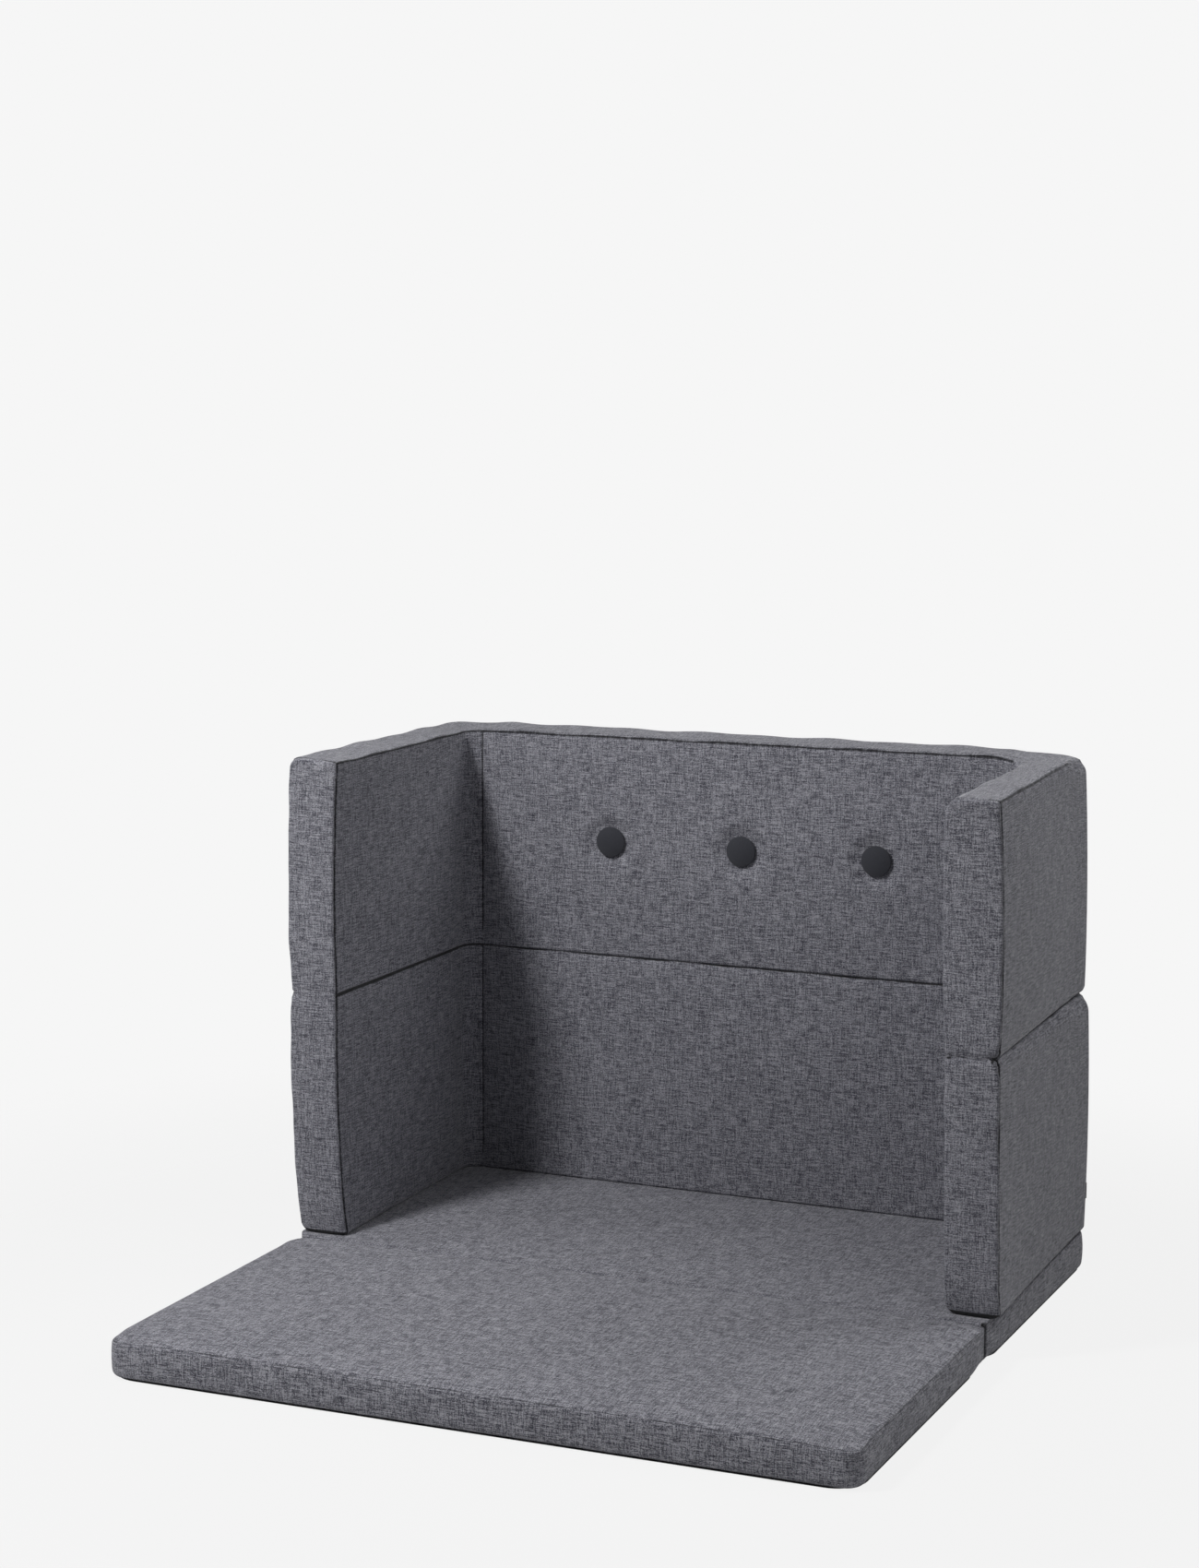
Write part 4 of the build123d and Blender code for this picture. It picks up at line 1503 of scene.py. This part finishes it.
@dataclass
class Button:
    """A covered button: a shallow dome whose cloth is gathered behind its rim. Sizes are in millimetres."""

    side: str
    radius: float = 20.0
    rim_height: float = 3.4
    dome_height: float = 3.4
    edge: float = 1.6
    segments: int = 96
    crown_rings: int = 14
    crown_power: float = 2.2
    gathers: int = 24
    gather: float = 0.12

    def build(self, finishes: Finishes) -> None:
        """Spins the dome's profile about the tufting axis.

        Args:
            finishes: The sofa's finishes.
        """
        low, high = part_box(f"{self.side}_button")
        centre = Vector(((low.x + high.x) / 2, high.y, (low.z + high.z) / 2))
        profile = [(0.0, 0.0), (self.radius * 0.55, 0.0), (self.radius - 2.4, 0.15)]
        for at in range(7):
            angle = math.pi * (at / 6 - 0.5)
            profile.append((self.radius - self.edge + self.edge * math.cos(angle),
                            self.rim_height / 2 + (self.rim_height / 2) * math.sin(angle)))
        for at in range(1, self.crown_rings):
            share = 1 - at / self.crown_rings
            reach = (self.radius - self.edge) * share
            profile.append((reach, self.rim_height + self.dome_height * (1 - share ** self.crown_power)))
        top = self.rim_height + self.dome_height
        rings = len(profile) - 1
        turn = np.linspace(0, 2 * math.pi, self.segments, endpoint=False)
        points = [tuple(centre)]
        for reach, height in profile[1:]:
            on_rim = reach > self.radius - 3 and height < self.rim_height
            for angle, more in zip(turn, self.gather * np.cos(self.gathers * turn) * on_rim):
                points.append((centre.x + (reach + more) * MM * math.cos(angle), centre.y - height * MM,
                               centre.z + (reach + more) * MM * math.sin(angle)))
        points.append((centre.x, centre.y - top * MM, centre.z))
        last = len(points) - 1
        faces = []
        for at in range(self.segments):
            after = (at + 1) % self.segments
            faces.append((0, 1 + at, 1 + after))
            for ring in range(rings - 1):
                base, above = 1 + ring * self.segments, 1 + (ring + 1) * self.segments
                faces.append((base + at, above + at, above + after, base + after))
            base = 1 + (rings - 1) * self.segments
            faces.append((base + at, last, base + after))
        mesh = bpy.data.meshes.new(f"{self.side}_covered_button")
        mesh.from_pydata(points, [], faces)
        mend(mesh, turn=True)
        mesh.shade_smooth()
        mesh.materials.append(finishes.button)
        dress(add_object(mesh.name, mesh), Body.UPPER, (f"{self.side}_button",))


@dataclass
class FoamBlock:
    """Foam inside a cover: a block with cut edges. Sizes are in millimetres."""

    node: str
    body: Body
    edge: float = 3.0
    spacing: float = 30.0
    clearance: tuple[float, float, float] = (14.0, 10.0, 4.0)
    top_gap: float = 0.0
    front_radius: float = 3.0
    rear_radius: float = 3.0

    def build(self, finishes: Finishes) -> None:
        """Makes the block in the space of its CAD foam.

        Args:
            finishes: The sofa's finishes.
        """
        low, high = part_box(self.node)
        gap = Vector(self.clearance) * MM
        edge, front, rear = self.edge * MM, self.front_radius * MM, self.rear_radius * MM
        high = high - gap - Vector((0, 0, self.top_gap * MM))
        shape = RoundedBox(low + gap, high, (front, front, rear, rear), edge, edge, self.spacing * MM)
        piece = shape.surface().to_object(f"{self.node}_block", finishes.foam)
        dress(piece, self.body, (self.node,))


def node_inputs(tree: NodeTree, sizes: dict[str, object]) -> Node:
    """Gives a Geometry Nodes tree its geometry sockets and its named inputs.

    Args:
        tree: The tree.
        sizes: Each input's name and a value of its kind.

    Returns:
        The group's input node.
    """
    kinds = {float: "NodeSocketFloat", tuple: "NodeSocketVector", Material: "NodeSocketMaterial"}
    tree.interface.new_socket("Geometry", in_out="INPUT", socket_type="NodeSocketGeometry")
    for name, value in sizes.items():
        tree.interface.new_socket(name, in_out="INPUT", socket_type=kinds[type(value)])
    tree.interface.new_socket("Geometry", in_out="OUTPUT", socket_type="NodeSocketGeometry")
    return add_node(tree, "NodeGroupInput")


def run_nodes(piece: Object, tree: NodeTree, sizes: dict[str, object]) -> Object:
    """Runs a Geometry Nodes tree on a piece and keeps the result as its mesh.

    Args:
        piece: The piece that carries the paths or the field.
        tree: The tree.
        sizes: Values of the tree's named inputs.

    Returns:
        The same piece, with a plain mesh.
    """
    modifier = piece.modifiers.new("repeat", "NODES")
    modifier.node_group = tree
    for item in tree.interface.items_tree:
        if item.in_out == "INPUT" and item.name in sizes:
            modifier[item.identifier] = sizes[item.name]
    keep_modified(piece)
    return piece


@dataclass
class RunOfBeads:
    """Small rounded pieces repeated along paths: stitches, or the turns of a zip's coil.

    Sizes are in millimetres. across is the way in which a bead is width wide.
    """

    name: str
    pitch: float
    length: float
    width: float
    height: float
    across: tuple[float, float, float] = (0.0, 0.0, 1.0)

    def tree(self, sizes: dict[str, object]) -> NodeTree:
        """Builds the tree: paths into points, a bead on each, one mesh with one finish.

        Args:
            sizes: Values of the tree's named inputs.

        Returns:
            The tree.
        """
        tree = bpy.data.node_groups.new(f"{self.name}_tree", "GeometryNodeTree")
        given = node_inputs(tree, sizes).outputs
        curve = add_node(tree, "GeometryNodeMeshToCurve", {"Mesh": given["Geometry"]})
        points = add_node(tree, "GeometryNodeCurveToPoints", {"Curve": curve.outputs[0], "Length": given["Pitch"]},
                          mode="LENGTH")
        turn = add_node(tree, "FunctionNodeAxesToRotation",
                        {0: points.outputs["Tangent"], 1: given["Across"]}, primary_axis="Z", secondary_axis="X")
        bead = add_node(tree, "GeometryNodeMeshUVSphere", {"Segments": 8, "Rings": 5, "Radius": 0.5})
        size = add_node(tree, "ShaderNodeCombineXYZ", {0: given["Width"], 1: given["Height"], 2: given["Length"]})
        placed = add_node(tree, "GeometryNodeInstanceOnPoints",
                          {"Points": points.outputs["Points"], "Instance": bead.outputs["Mesh"],
                           "Rotation": turn.outputs[0], "Scale": size.outputs[0]})
        self.finish(tree, placed.outputs["Instances"], given["Finish"])
        return tree

    @staticmethod
    def finish(tree: NodeTree, instances: NodeSocket, material: NodeSocket) -> None:
        """Ends a tree: real meshes, smooth, in their finish."""
        real = add_node(tree, "GeometryNodeRealizeInstances", {0: instances})
        smooth = add_node(tree, "GeometryNodeSetShadeSmooth", {0: real.outputs[0]})
        dressed = add_node(tree, "GeometryNodeSetMaterial", {"Geometry": smooth.outputs[0], "Material": material})
        add_node(tree, "NodeGroupOutput", {0: dressed.outputs[0]})

    def along(self, paths: list[Array], material: Material) -> Object:
        """Sets the beads along paths.

        Args:
            paths: Points of each path, in metres.
            material: The beads' finish.

        Returns:
            One mesh of all beads.
        """
        points = np.concatenate(paths)
        ends = np.cumsum([len(path) for path in paths])
        edges = [(at, at + 1) for at in range(len(points) - 1) if at + 1 not in ends]
        mesh = bpy.data.meshes.new(self.name)
        mesh.from_pydata(points.tolist(), edges, [])
        piece = add_object(self.name, mesh)
        sizes = {"Pitch": self.pitch * MM, "Length": self.length * MM, "Width": self.width * MM,
                 "Height": self.height * MM, "Across": self.across, "Finish": material}
        return run_nodes(piece, self.tree(sizes), sizes)


@dataclass
class NonSlipSheet:
    """Non-slip cloth under a mat, with soft dots on its underside. Sizes are in millimetres."""

    mat: str
    body: Body
    thickness: float = 1.6
    spread: float = 13.0
    dot_pitch: float = 16.0
    dot_width: float = 7.0
    dot_height: float = 0.4
    corner_radius: float = 36.0
    spacing: float = 24.0

    def build(self, finishes: Finishes) -> None:
        """Makes the sheet and its field of dots.

        Args:
            finishes: The sofa's finishes.
        """
        node = f"{self.mat}_non_slip_sheet"
        low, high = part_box(node)
        out = self.spread * MM
        low = Vector((low.x - out, low.y - (out if low.y < 0 else 0), high.z - self.thickness * MM))
        high = Vector((high.x + out, high.y + (out if low.y > 0 else 0), high.z))
        half = self.thickness / 2 * MM
        corners = (self.corner_radius * MM,) * 4
        shape = RoundedBox(low, high, corners, half, half, self.spacing * MM, fine_spacing=6 * MM)
        sheet = shape.surface().to_object(f"{node}_cloth", finishes.non_slip)
        dress(sheet, self.body, (node,))
        dots = self.dots(low, high, f"{node}_dots", finishes.dot)
        dress(dots, self.body)

    def dots(self, low: Vector, high: Vector, name: str, material: Material) -> Object:
        """Fills the underside with a square field of dots by Geometry Nodes.

        Args:
            low: Low corner of the sheet.
            high: Its high corner.
            name: The piece's name.
            material: The dots' finish.

        Returns:
            One mesh of all dots.
        """
        middle = (low + high) / 2
        columns, rows = (int(side / MM / self.dot_pitch) for side in (high - low).xy)
        sizes = {"Columns": float(columns), "Rows": float(rows), "Width": (columns - 1) * self.dot_pitch * MM,
                 "Length": (rows - 1) * self.dot_pitch * MM, "Place": (middle.x, middle.y, low.z), "Finish": material,
                 "Dot": (self.dot_width * MM, self.dot_width * MM, 2 * self.dot_height * MM)}
        tree = bpy.data.node_groups.new(f"{name}_tree", "GeometryNodeTree")
        given = node_inputs(tree, sizes).outputs
        grid = add_node(tree, "GeometryNodeMeshGrid", {"Size X": given["Width"], "Size Y": given["Length"],
                                                       "Vertices X": given["Columns"], "Vertices Y": given["Rows"]})
        dot = add_node(tree, "GeometryNodeMeshUVSphere", {"Segments": 8, "Rings": 4, "Radius": 0.5})
        placed = add_node(tree, "GeometryNodeInstanceOnPoints",
                          {"Points": grid.outputs["Mesh"], "Instance": dot.outputs["Mesh"], "Scale": given["Dot"]})
        moved = add_node(tree, "GeometryNodeTransform", {"Geometry": placed.outputs[0], "Translation": given["Place"]})
        RunOfBeads.finish(tree, moved.outputs[0], given["Finish"])
        return run_nodes(add_object(name, bpy.data.meshes.new(name)), tree, sizes)


@dataclass
class Zip:
    """A closed coil zip on a face of a cover: two tapes, a coil and end stops. Sizes are in millimetres."""

    name: str
    body: Body
    slit: float = 3.4
    tape_rise: float = 0.9
    coil_pitch: float = 1.9
    coil_width: float = 5.2
    coil_height: float = 2.0
    coil_length: float = 1.5
    coil_inset: float = 6.0
    tape_sunk: float = 1.5
    stop_length: float = 3.0
    stop_inset: float = 2.0
    stitch_inset: float = 2.2
    stitch: tuple[float, float, float, float] = (3.6, 2.8, 0.7, 0.6)

    def build(self, finishes: Finishes) -> None:
        """Makes the tapes, the coil and its stitches in the place of the CAD zip.

        Args:
            finishes: The sofa's finishes.
        """
        low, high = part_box(self.name)
        size = high - low
        facing, outwards, face = zip_face(self.name)
        run = 1 - facing
        dress(self.tapes(finishes.tape), self.body, (self.name,))
        middle = (low.z + high.z) / 2
        centre = np.zeros((2, 3))
        centre[:, run] = low[run] + self.coil_inset * MM, high[run] - self.coil_inset * MM
        centre[:, facing] = face + outwards * self.tape_rise * MM
        centre[:, 2] = middle
        coil = RunOfBeads(f"{self.name}_coil", self.coil_pitch, self.coil_length, self.coil_width, self.coil_height)
        dress(coil.along([centre], finishes.coil), self.body)
        rows = []
        for side in (-1, 1):
            row = centre.copy()
            row[:, 2] = middle + side * (size.z / 2 - self.stitch_inset * MM)
            rows.append(row)
        stitches = RunOfBeads(f"{self.name}_stitches", *self.stitch).along(rows, finishes.thread)
        dress(stitches, self.body)

    def tapes(self, material: Material) -> Object:
        """Makes the two tapes and the end stops as one mesh of rounded strips.

        Args:
            material: The tapes' finish.

        Returns:
            The mesh's object.
        """
        low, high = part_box(self.name)
        facing, outwards, face = zip_face(self.name)
        run, middle, stop = 1 - facing, (low.z + high.z) / 2, self.stop_length * MM
        back, skin = face - outwards * self.tape_sunk * MM, face + outwards * self.tape_rise * MM

        def strip(ends: tuple[float, float], upright: tuple[float, float], proud: float) -> Surface:
            """One strip of tape with rounded edges, lying on the face."""
            depth, edge = sorted((back, proud)), 0.3 * MM
            spans = (depth, ends, upright) if facing == 0 else (ends, depth, upright)
            corners = (Vector(corner) for corner in zip(*spans))
            return RoundedBox(*corners, (edge,) * 4, edge, edge, 12 * MM, fine_spacing=0.3 * MM).surface()

        halves = (low.z, middle - self.slit / 2 * MM), (middle + self.slit / 2 * MM, high.z)
        parts = [strip((low[run], high[run]), upright, skin) for upright in halves]
        for start in (low[run] + self.stop_inset * MM, high[run] - self.stop_inset * MM - stop):
            parts.append(strip((start, start + stop), (middle - stop, middle + stop), skin + (skin - back) * 0.9))
        counts = np.cumsum([0] + [len(part.points) for part in parts[:-1]])
        quads = np.concatenate([part.quads + count for part, count in zip(parts, counts)])
        rows = zip(*((part.points, part.uvs, part.seam) for part in parts))
        points, uvs, seam = (np.concatenate(row) for row in rows)
        return Surface(points, quads, uvs, seam).to_object(f"{self.name}_tapes", material)


@dataclass
class SeamTab:
    """A small plain tab of folded tape in the rear right seam. Sizes are in millimetres."""

    sewn_in: float = 7.0
    shorter: float = 4.5
    thickness: float = 0.9
    fold_gap: float = 0.5

    def build(self, finishes: Finishes) -> None:
        """Makes the loop of tape, folded at its free end.

        Args:
            finishes: The sofa's finishes.
        """
        low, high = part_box("seam_tab")
        way = Vector((1, 1, 0)).normalized()
        root = Vector((low.x, low.y, 0)) - way * self.sewn_in * MM
        aside = Vector((-way.y, way.x, 0))
        length = (high.x - low.x) * math.sqrt(2) + (self.sewn_in - self.shorter) * MM
        half = (self.fold_gap / 2 + self.thickness) * MM
        outline = []
        for radius, turns in ((half, range(-6, 7)), (half - self.thickness * MM, range(6, -7, -1))):
            outline.append(root + aside * (radius if radius < half else -radius))
            for at in turns:
                angle = math.pi / 2 * at / 6
                ahead = length - half + radius * math.cos(angle)
                outline.append(root + way * ahead + aside * radius * math.sin(angle))
            outline.append(root + aside * (-radius if radius < half else radius))
        heights = np.linspace(low.z, high.z, 9)
        count = len(outline)
        points = np.array([(p.x, p.y, z) for z in heights for p in outline])
        quads = np.array([(row * count + at, row * count + (at + 1) % count, (row + 1) * count + (at + 1) % count,
                           (row + 1) * count + at) for row in range(len(heights) - 1) for at in range(count)])
        surface = Surface(points, quads, points[quads][:, :, [0, 2]], np.full(len(points), PLAIN_SEAM))
        piece = surface.to_object("seam_tab_folded", finishes.tab)
        mend(piece.data, fill=True, turn=True)
        dress(piece, Body.BASE, ("seam_tab",))


@dataclass
class SeamStitches:
    """Stitches that show: along the fold of the mats and the top seam of the back. Sizes are in millimetres."""

    pitch: float = 4.4
    length: float = 3.0
    width: float = 0.7
    fold_away: float = 3.2
    lift: float = 0.15
    side_inset: float = 8.0
    back_row_half: float = 365.0
    back_row_away: float = 5.5

    def build(self, covers: dict[Body, Object], finishes: Finishes) -> None:
        """Sets each body's stitches on its cover.

        Args:
            covers: The cover that each body's stitches lie on.
            finishes: The sofa's finishes.
        """
        half, back_half = frame_sizes.half_width - self.side_inset * MM, self.back_row_half * MM
        x = np.linspace(-half, half, 160)
        away = self.fold_away * MM
        rows = {
            Body.MAT: (x, -away, frame_sizes.mat_top),
            Body.BASE: (x, away, frame_sizes.mat_top),
            Body.UPPER: (np.linspace(-back_half, back_half, 140), frame_sizes.back_inner_y + self.back_row_away * MM,
                         frame_sizes.upper[1]),
        }
        for body, row in rows.items():
            path = self.laid(covers[body], np.column_stack(np.broadcast_arrays(*row)))
            beads = RunOfBeads(f"{body.value}_seam_stitches", self.pitch, self.length, self.width, self.width)
            dress(beads.along([path], finishes.thread), body)

    def laid(self, cover: Object, path: Array) -> Array:
        """Lays a path onto a cover.

        Args:
            cover: The cover.
            path: Points near the cover.

        Returns:
            The points on the cover's skin, a little proud of it.
        """
        points = []
        for place in path:
            _, near, normal, _ = cover.closest_point_on_mesh(Vector(place))
            points.append(near + normal * self.lift * MM)
        return np.array(points)


@dataclass
class Studio:
    """Floor, lamps and camera of the photograph."""

    camera_place: tuple[float, float, float] = (1.4728, -3.4823, 1.2021)
    azimuth: float = 23.3847
    elevation: float = 8.3655
    roll: float = -0.1946
    focal_pixels: float = 3542.0
    image_height: float = 1700.0
    sensor_mm: float = 36.0
    background: str = "#F6F6F6"
    world_strength: float = 0.02
    # What add_lamp takes, for each lamp
    lamps: tuple[tuple[str, float, float, float, float, float], ...] = (
        ("key", -36.0, 50.0, 0.3, 32.5, 2.2), ("low", -36.0, 18.0, 0.3, 1.2, 1.5), ("left", -75.0, 35.0, 1.0, 6.2, 2.2),
        ("right", 60.0, 35.0, 1.0, 6.4, 2.2), ("rear", 130.0, 45.0, 1.0, 12.8, 2.2))
    floor_colour: str = "#DCDCDC"
    floor_evenness: float = 0.93
    floor_near: float = 0.75
    floor_reach: float = 1.5
    floor_margin: float = 1.0
    world_colour: str = "#F2F4F8"
    lamp_target: float = 0.3

    def build(self) -> None:
        """Makes the floor, the world, the lamps and the camera."""
        self.add_floor()
        self.add_world()
        for lamp in self.lamps:
            self.add_lamp(*lamp)
        self.add_camera()
        bpy.context.scene.view_settings.view_transform = "Standard"

    def add_floor(self) -> None:
        """Adds a pale floor that keeps the sofa's shadow and fades into the surround."""
        mesh = bpy.data.meshes.new("floor")
        reach = self.floor_reach + self.floor_margin
        corners = [(-reach, -reach, 0), (reach, -reach, 0), (reach, reach, 0), (-reach, reach, 0)]
        mesh.from_pydata(corners, [], [(0, 1, 2, 3)])
        floor = add_object("floor", mesh)
        material, tree, shader = new_material("studio_paper_matt")
        shader.inputs["Base Color"].default_value = linear(self.floor_colour)
        shader.inputs["Roughness"].default_value = 0.95
        shader.inputs["Specular IOR Level"].default_value = 0.1
        seen = add_node(tree, "ShaderNodeLightPath").outputs["Is Camera Ray"]
        pale = add_node(tree, "ShaderNodeEmission", {"Color": linear(self.background), "Strength": 1.0})
        evenness = weighted_sum(tree, (seen, self.floor_evenness))
        paper = add_node(tree, "ShaderNodeMixShader", {0: evenness, 1: shader.outputs[0], 2: pale.outputs[0]})
        place = add_node(tree, "ShaderNodeTexCoord").outputs["Object"]
        away = add_node(tree, "ShaderNodeVectorMath", {0: place}, operation="LENGTH").outputs["Value"]
        gone = add_node(tree, "ShaderNodeMapRange",
                        {"Value": away, "From Min": self.floor_near, "From Max": self.floor_reach},
                        interpolation_type="SMOOTHSTEP").outputs["Result"]
        clear = add_node(tree, "ShaderNodeBsdfTransparent")
        edge = add_node(tree, "ShaderNodeMixShader", {0: gone, 1: paper.outputs[0], 2: clear.outputs[0]})
        output = next(node for node in tree.nodes if node.type == "OUTPUT_MATERIAL")
        tree.links.new(edge.outputs[0], output.inputs["Surface"])
        mesh.materials.append(material)

    def add_world(self) -> None:
        """Adds the pale surround: one colour to the camera, and a softer light for the sofa."""
        world = bpy.data.worlds.new("studio")
        bpy.context.scene.world = world
        world.use_nodes = True
        tree = world.node_tree
        tree.nodes.clear()
        rays = add_node(tree, "ShaderNodeLightPath").outputs
        seen = weighted_sum(tree, *((rays[f"Is {kind} Ray"], 1.0) for kind in ("Camera", "Glossy", "Transmission")))
        light = add_node(tree, "ShaderNodeBackground",
                         {"Color": linear(self.world_colour), "Strength": self.world_strength})
        show = add_node(tree, "ShaderNodeBackground", {"Color": linear(self.background), "Strength": 1.0})
        mix = add_node(tree, "ShaderNodeMixShader", {0: seen, 1: light.outputs[0], 2: show.outputs[0]})
        add_node(tree, "ShaderNodeOutputWorld", {"Surface": mix.outputs[0]})

    def add_lamp(self, name: str, azimuth: float, elevation: float, size: float, power: float, distance: float) -> None:
        """Adds a square soft box that faces the sofa.

        Args:
            name: The lamp's name.
            azimuth: Its angle round the sofa in degrees, 0 in front, minus to the left.
            elevation: Its angle above the floor in degrees.
            size: Its side in metres.
            power: Its power in watts.
            distance: Its distance in metres.
        """
        lamp = bpy.data.lights.new(name, "AREA")
        lamp.size = size
        lamp.energy = power
        holder = add_object(name, lamp)
        holder.visible_camera = False
        turn, rise = math.radians(azimuth), math.radians(elevation)
        target = Vector((0, 0, self.lamp_target))
        way = Vector((math.sin(turn) * math.cos(rise), -math.cos(turn) * math.cos(rise), math.sin(rise)))
        holder.location = target + distance * way
        holder.rotation_euler = (-way).to_track_quat("-Z", "Y").to_euler()

    def add_camera(self) -> None:
        """Adds the camera at the photograph's viewpoint."""
        data = bpy.data.cameras.new("camera")
        data.sensor_width = self.sensor_mm
        data.sensor_fit = "AUTO"
        data.lens = self.focal_pixels / self.image_height * self.sensor_mm
        camera = add_object("camera", data)
        azimuth, elevation = math.radians(self.azimuth), math.radians(self.elevation)
        forward = Vector((-math.sin(azimuth) * math.cos(elevation), math.cos(azimuth) * math.cos(elevation),
                          -math.sin(elevation)))
        camera.rotation_mode = "QUATERNION"
        turn = forward.to_track_quat("-Z", "Y")
        turn.rotate(Quaternion(forward, math.radians(self.roll)))
        camera.rotation_quaternion = turn
        camera.location = self.camera_place
        bpy.context.scene.camera = camera


def dress_cad_nodes(finishes: Finishes) -> None:
    """Gives each CAD node that stays its real finish.

    Args:
        finishes: The sofa's finishes.
    """
    chosen = {Slot.TWINE: finishes.twine, Slot.ANCHOR: finishes.anchor, Slot.SLIDER: finishes.slider}
    for part in frame["record"]["subparts"]:
        node, slot = frame["nodes"][part["node"]], Slot(part["material_slot"])
        if slot not in chosen:
            continue
        node.data.materials.clear()
        node.data.materials.append(chosen[slot])
        log.info("%s keeps its CAD shape", part["node"])


def main() -> None:
    """Builds the sofa piece by piece, then the studio."""
    logging.basicConfig(level=logging.INFO, format="%(name)s: %(message)s")
    finishes = Finishes()
    mats = ("front_mat", Body.MAT), ("rear_mat", Body.BASE)
    # Height up each lip, in millimetres at EDGE_WAYS, painted dark as the shade of the crease slit
    crease_slit_shade = (2.3, 2.2, 1.9, 1.5, 1.1, 1.4, 1.4, 1.0, 1.0, 1.0)
    front_mat = Mat("front_mat", Body.MAT, fold_side=1, crown=3.0, seed=0.7).build(finishes)
    rear_mat = Mat("rear_mat", Body.BASE, fold_side=-1, crown=1.5, seed=3.9, outer_corner_radius=34.0,
                   edge_sag=0.0, corner_sag=0.0).build(finishes)
    WallLevel(
        "lower", Body.BASE, *frame_sizes.lower,
        # The slits at the foot against the mat, in the groove between the levels and in the crease are painted shade
        inner_bottom=Edge((5, 5, 4, 4, 4, 4, 4, 4, 6, 12), slit=(1.8, 1.2, 0.9, 0.8, 0.9, 0.9, 0.8, 0.8, 1.0, 2.5)),
        outer_bottom=Edge((9, 7, 6, 7, 6, 6, 5, 4, 4, 6)),
        inner_top=Edge((5,) * 10, slit=crease_slit_shade),
        outer_top=Edge((5, 9, 11, 20, 8, 8, 26, 16, 13, 8), steps=9,
                       slit=(0.8, 1.0, 1.0, 1.5, 1.0, 1.0, 2.8, 2.0, 1.5, 0.8)),
        tufted=False, seed=1.9, left_lean=LEFT_LOWER, right_lean=RIGHT_LOWER, rear_lean=(2.0, 4.0, 0.0),
        rear_inset=0.5, outer_corner_radius=28.0,
    ).build(finishes)
    upper = WallLevel(
        "upper", Body.UPPER, *frame_sizes.upper,
        inner_bottom=Edge((5,) * 10, slit=crease_slit_shade),
        outer_bottom=Edge((3, 6, 7, 9, 5, 5, 9, 8, 8, 7), slit=(0.8, 1.0, 1.0, 1.5, 1.0, 1.0, 2.2, 1.6, 1.2, 0.6)),
        inner_top=Edge((4, 4, 4, 4, 4, 4, 8, 13, 16, 17), plain_from=0.57),
        outer_top=Edge((13, 12, 11, 20, 8, 8, 22, 9, 7, 5), steps=9),
        tufted=True, seed=5.3, left_lean=LEFT_UPPER, right_lean=RIGHT_UPPER, rear_lean=(-2.5, -3.0, -8.5),
        inner_top_drop=(9.0, 10.5, 12.0, 12.0, 10.5, 5.5, 8.0, 5.0, 1.5, 3.0),
        outer_top_drop=(5.5, 5.0, 9.0, 8.0, 6.5, 2.6, 4.0, 0.0, 1.0, 3.0),
        corner_fill=19.0, rear_inset=2.0, outer_corner_radius=30.0,
    ).build(finishes)
    FrontPanel("left", LEFT_LOWER, LEFT_UPPER, (12.0, 6.0, 13.0, 4.0), pinch=0.5, outer_pinch=1.6, waist=1.0,
               wrinkles=0.8, top_drop=(9.0, 5.5), foot_tuck=4.0, foot_shadow_height=4.2, crease_shade_line=0.0,
               plain_inside=False, seed=1.0).build(finishes)
    FrontPanel("right", RIGHT_LOWER, RIGHT_UPPER, (13.0, 10.0, 17.0, 5.0), pinch=2.4, outer_pinch=3.0, waist=3.6,
               wrinkles=0.0, top_drop=(3.0, 3.0), foot_tuck=8.0, foot_shadow_height=5.2, crease_shade_line=0.8,
               plain_inside=True, seed=4.0).build(finishes)
    for side in ("left", "middle", "right"):
        Button(side).build(finishes)
    for name, body in mats:
        radii = (18.0, 24.0) if body is Body.BASE else (30.0, 18.0)
        FoamBlock(f"{name}_foam", body, top_gap=8.0, front_radius=radii[0], rear_radius=radii[1]).build(finishes)
    for level, body, gap in (("lower", Body.BASE, 0.0), ("upper", Body.UPPER, 13.0)):
        FoamBlock(f"{level}_back_foam", body, top_gap=gap, rear_radius=32.0).build(finishes)
        for side in ("left", "right"):
            FoamBlock(f"{side}_{level}_arm_foam", body, top_gap=gap, clearance=(14.0, 6.0, 4.0)).build(finishes)
    for name, body in mats:
        NonSlipSheet(name, body).build(finishes)
    for name, body in (*mats, ("lower_back", Body.BASE), ("upper_back", Body.UPPER)):
        Zip(f"{name}_zip", body).build(finishes)
    SeamTab().build(finishes)
    SeamStitches().build({Body.MAT: front_mat, Body.BASE: rear_mat, Body.UPPER: upper}, finishes)
    dress_cad_nodes(finishes)
    Studio().build()


if __name__ == "__main__":
    main()
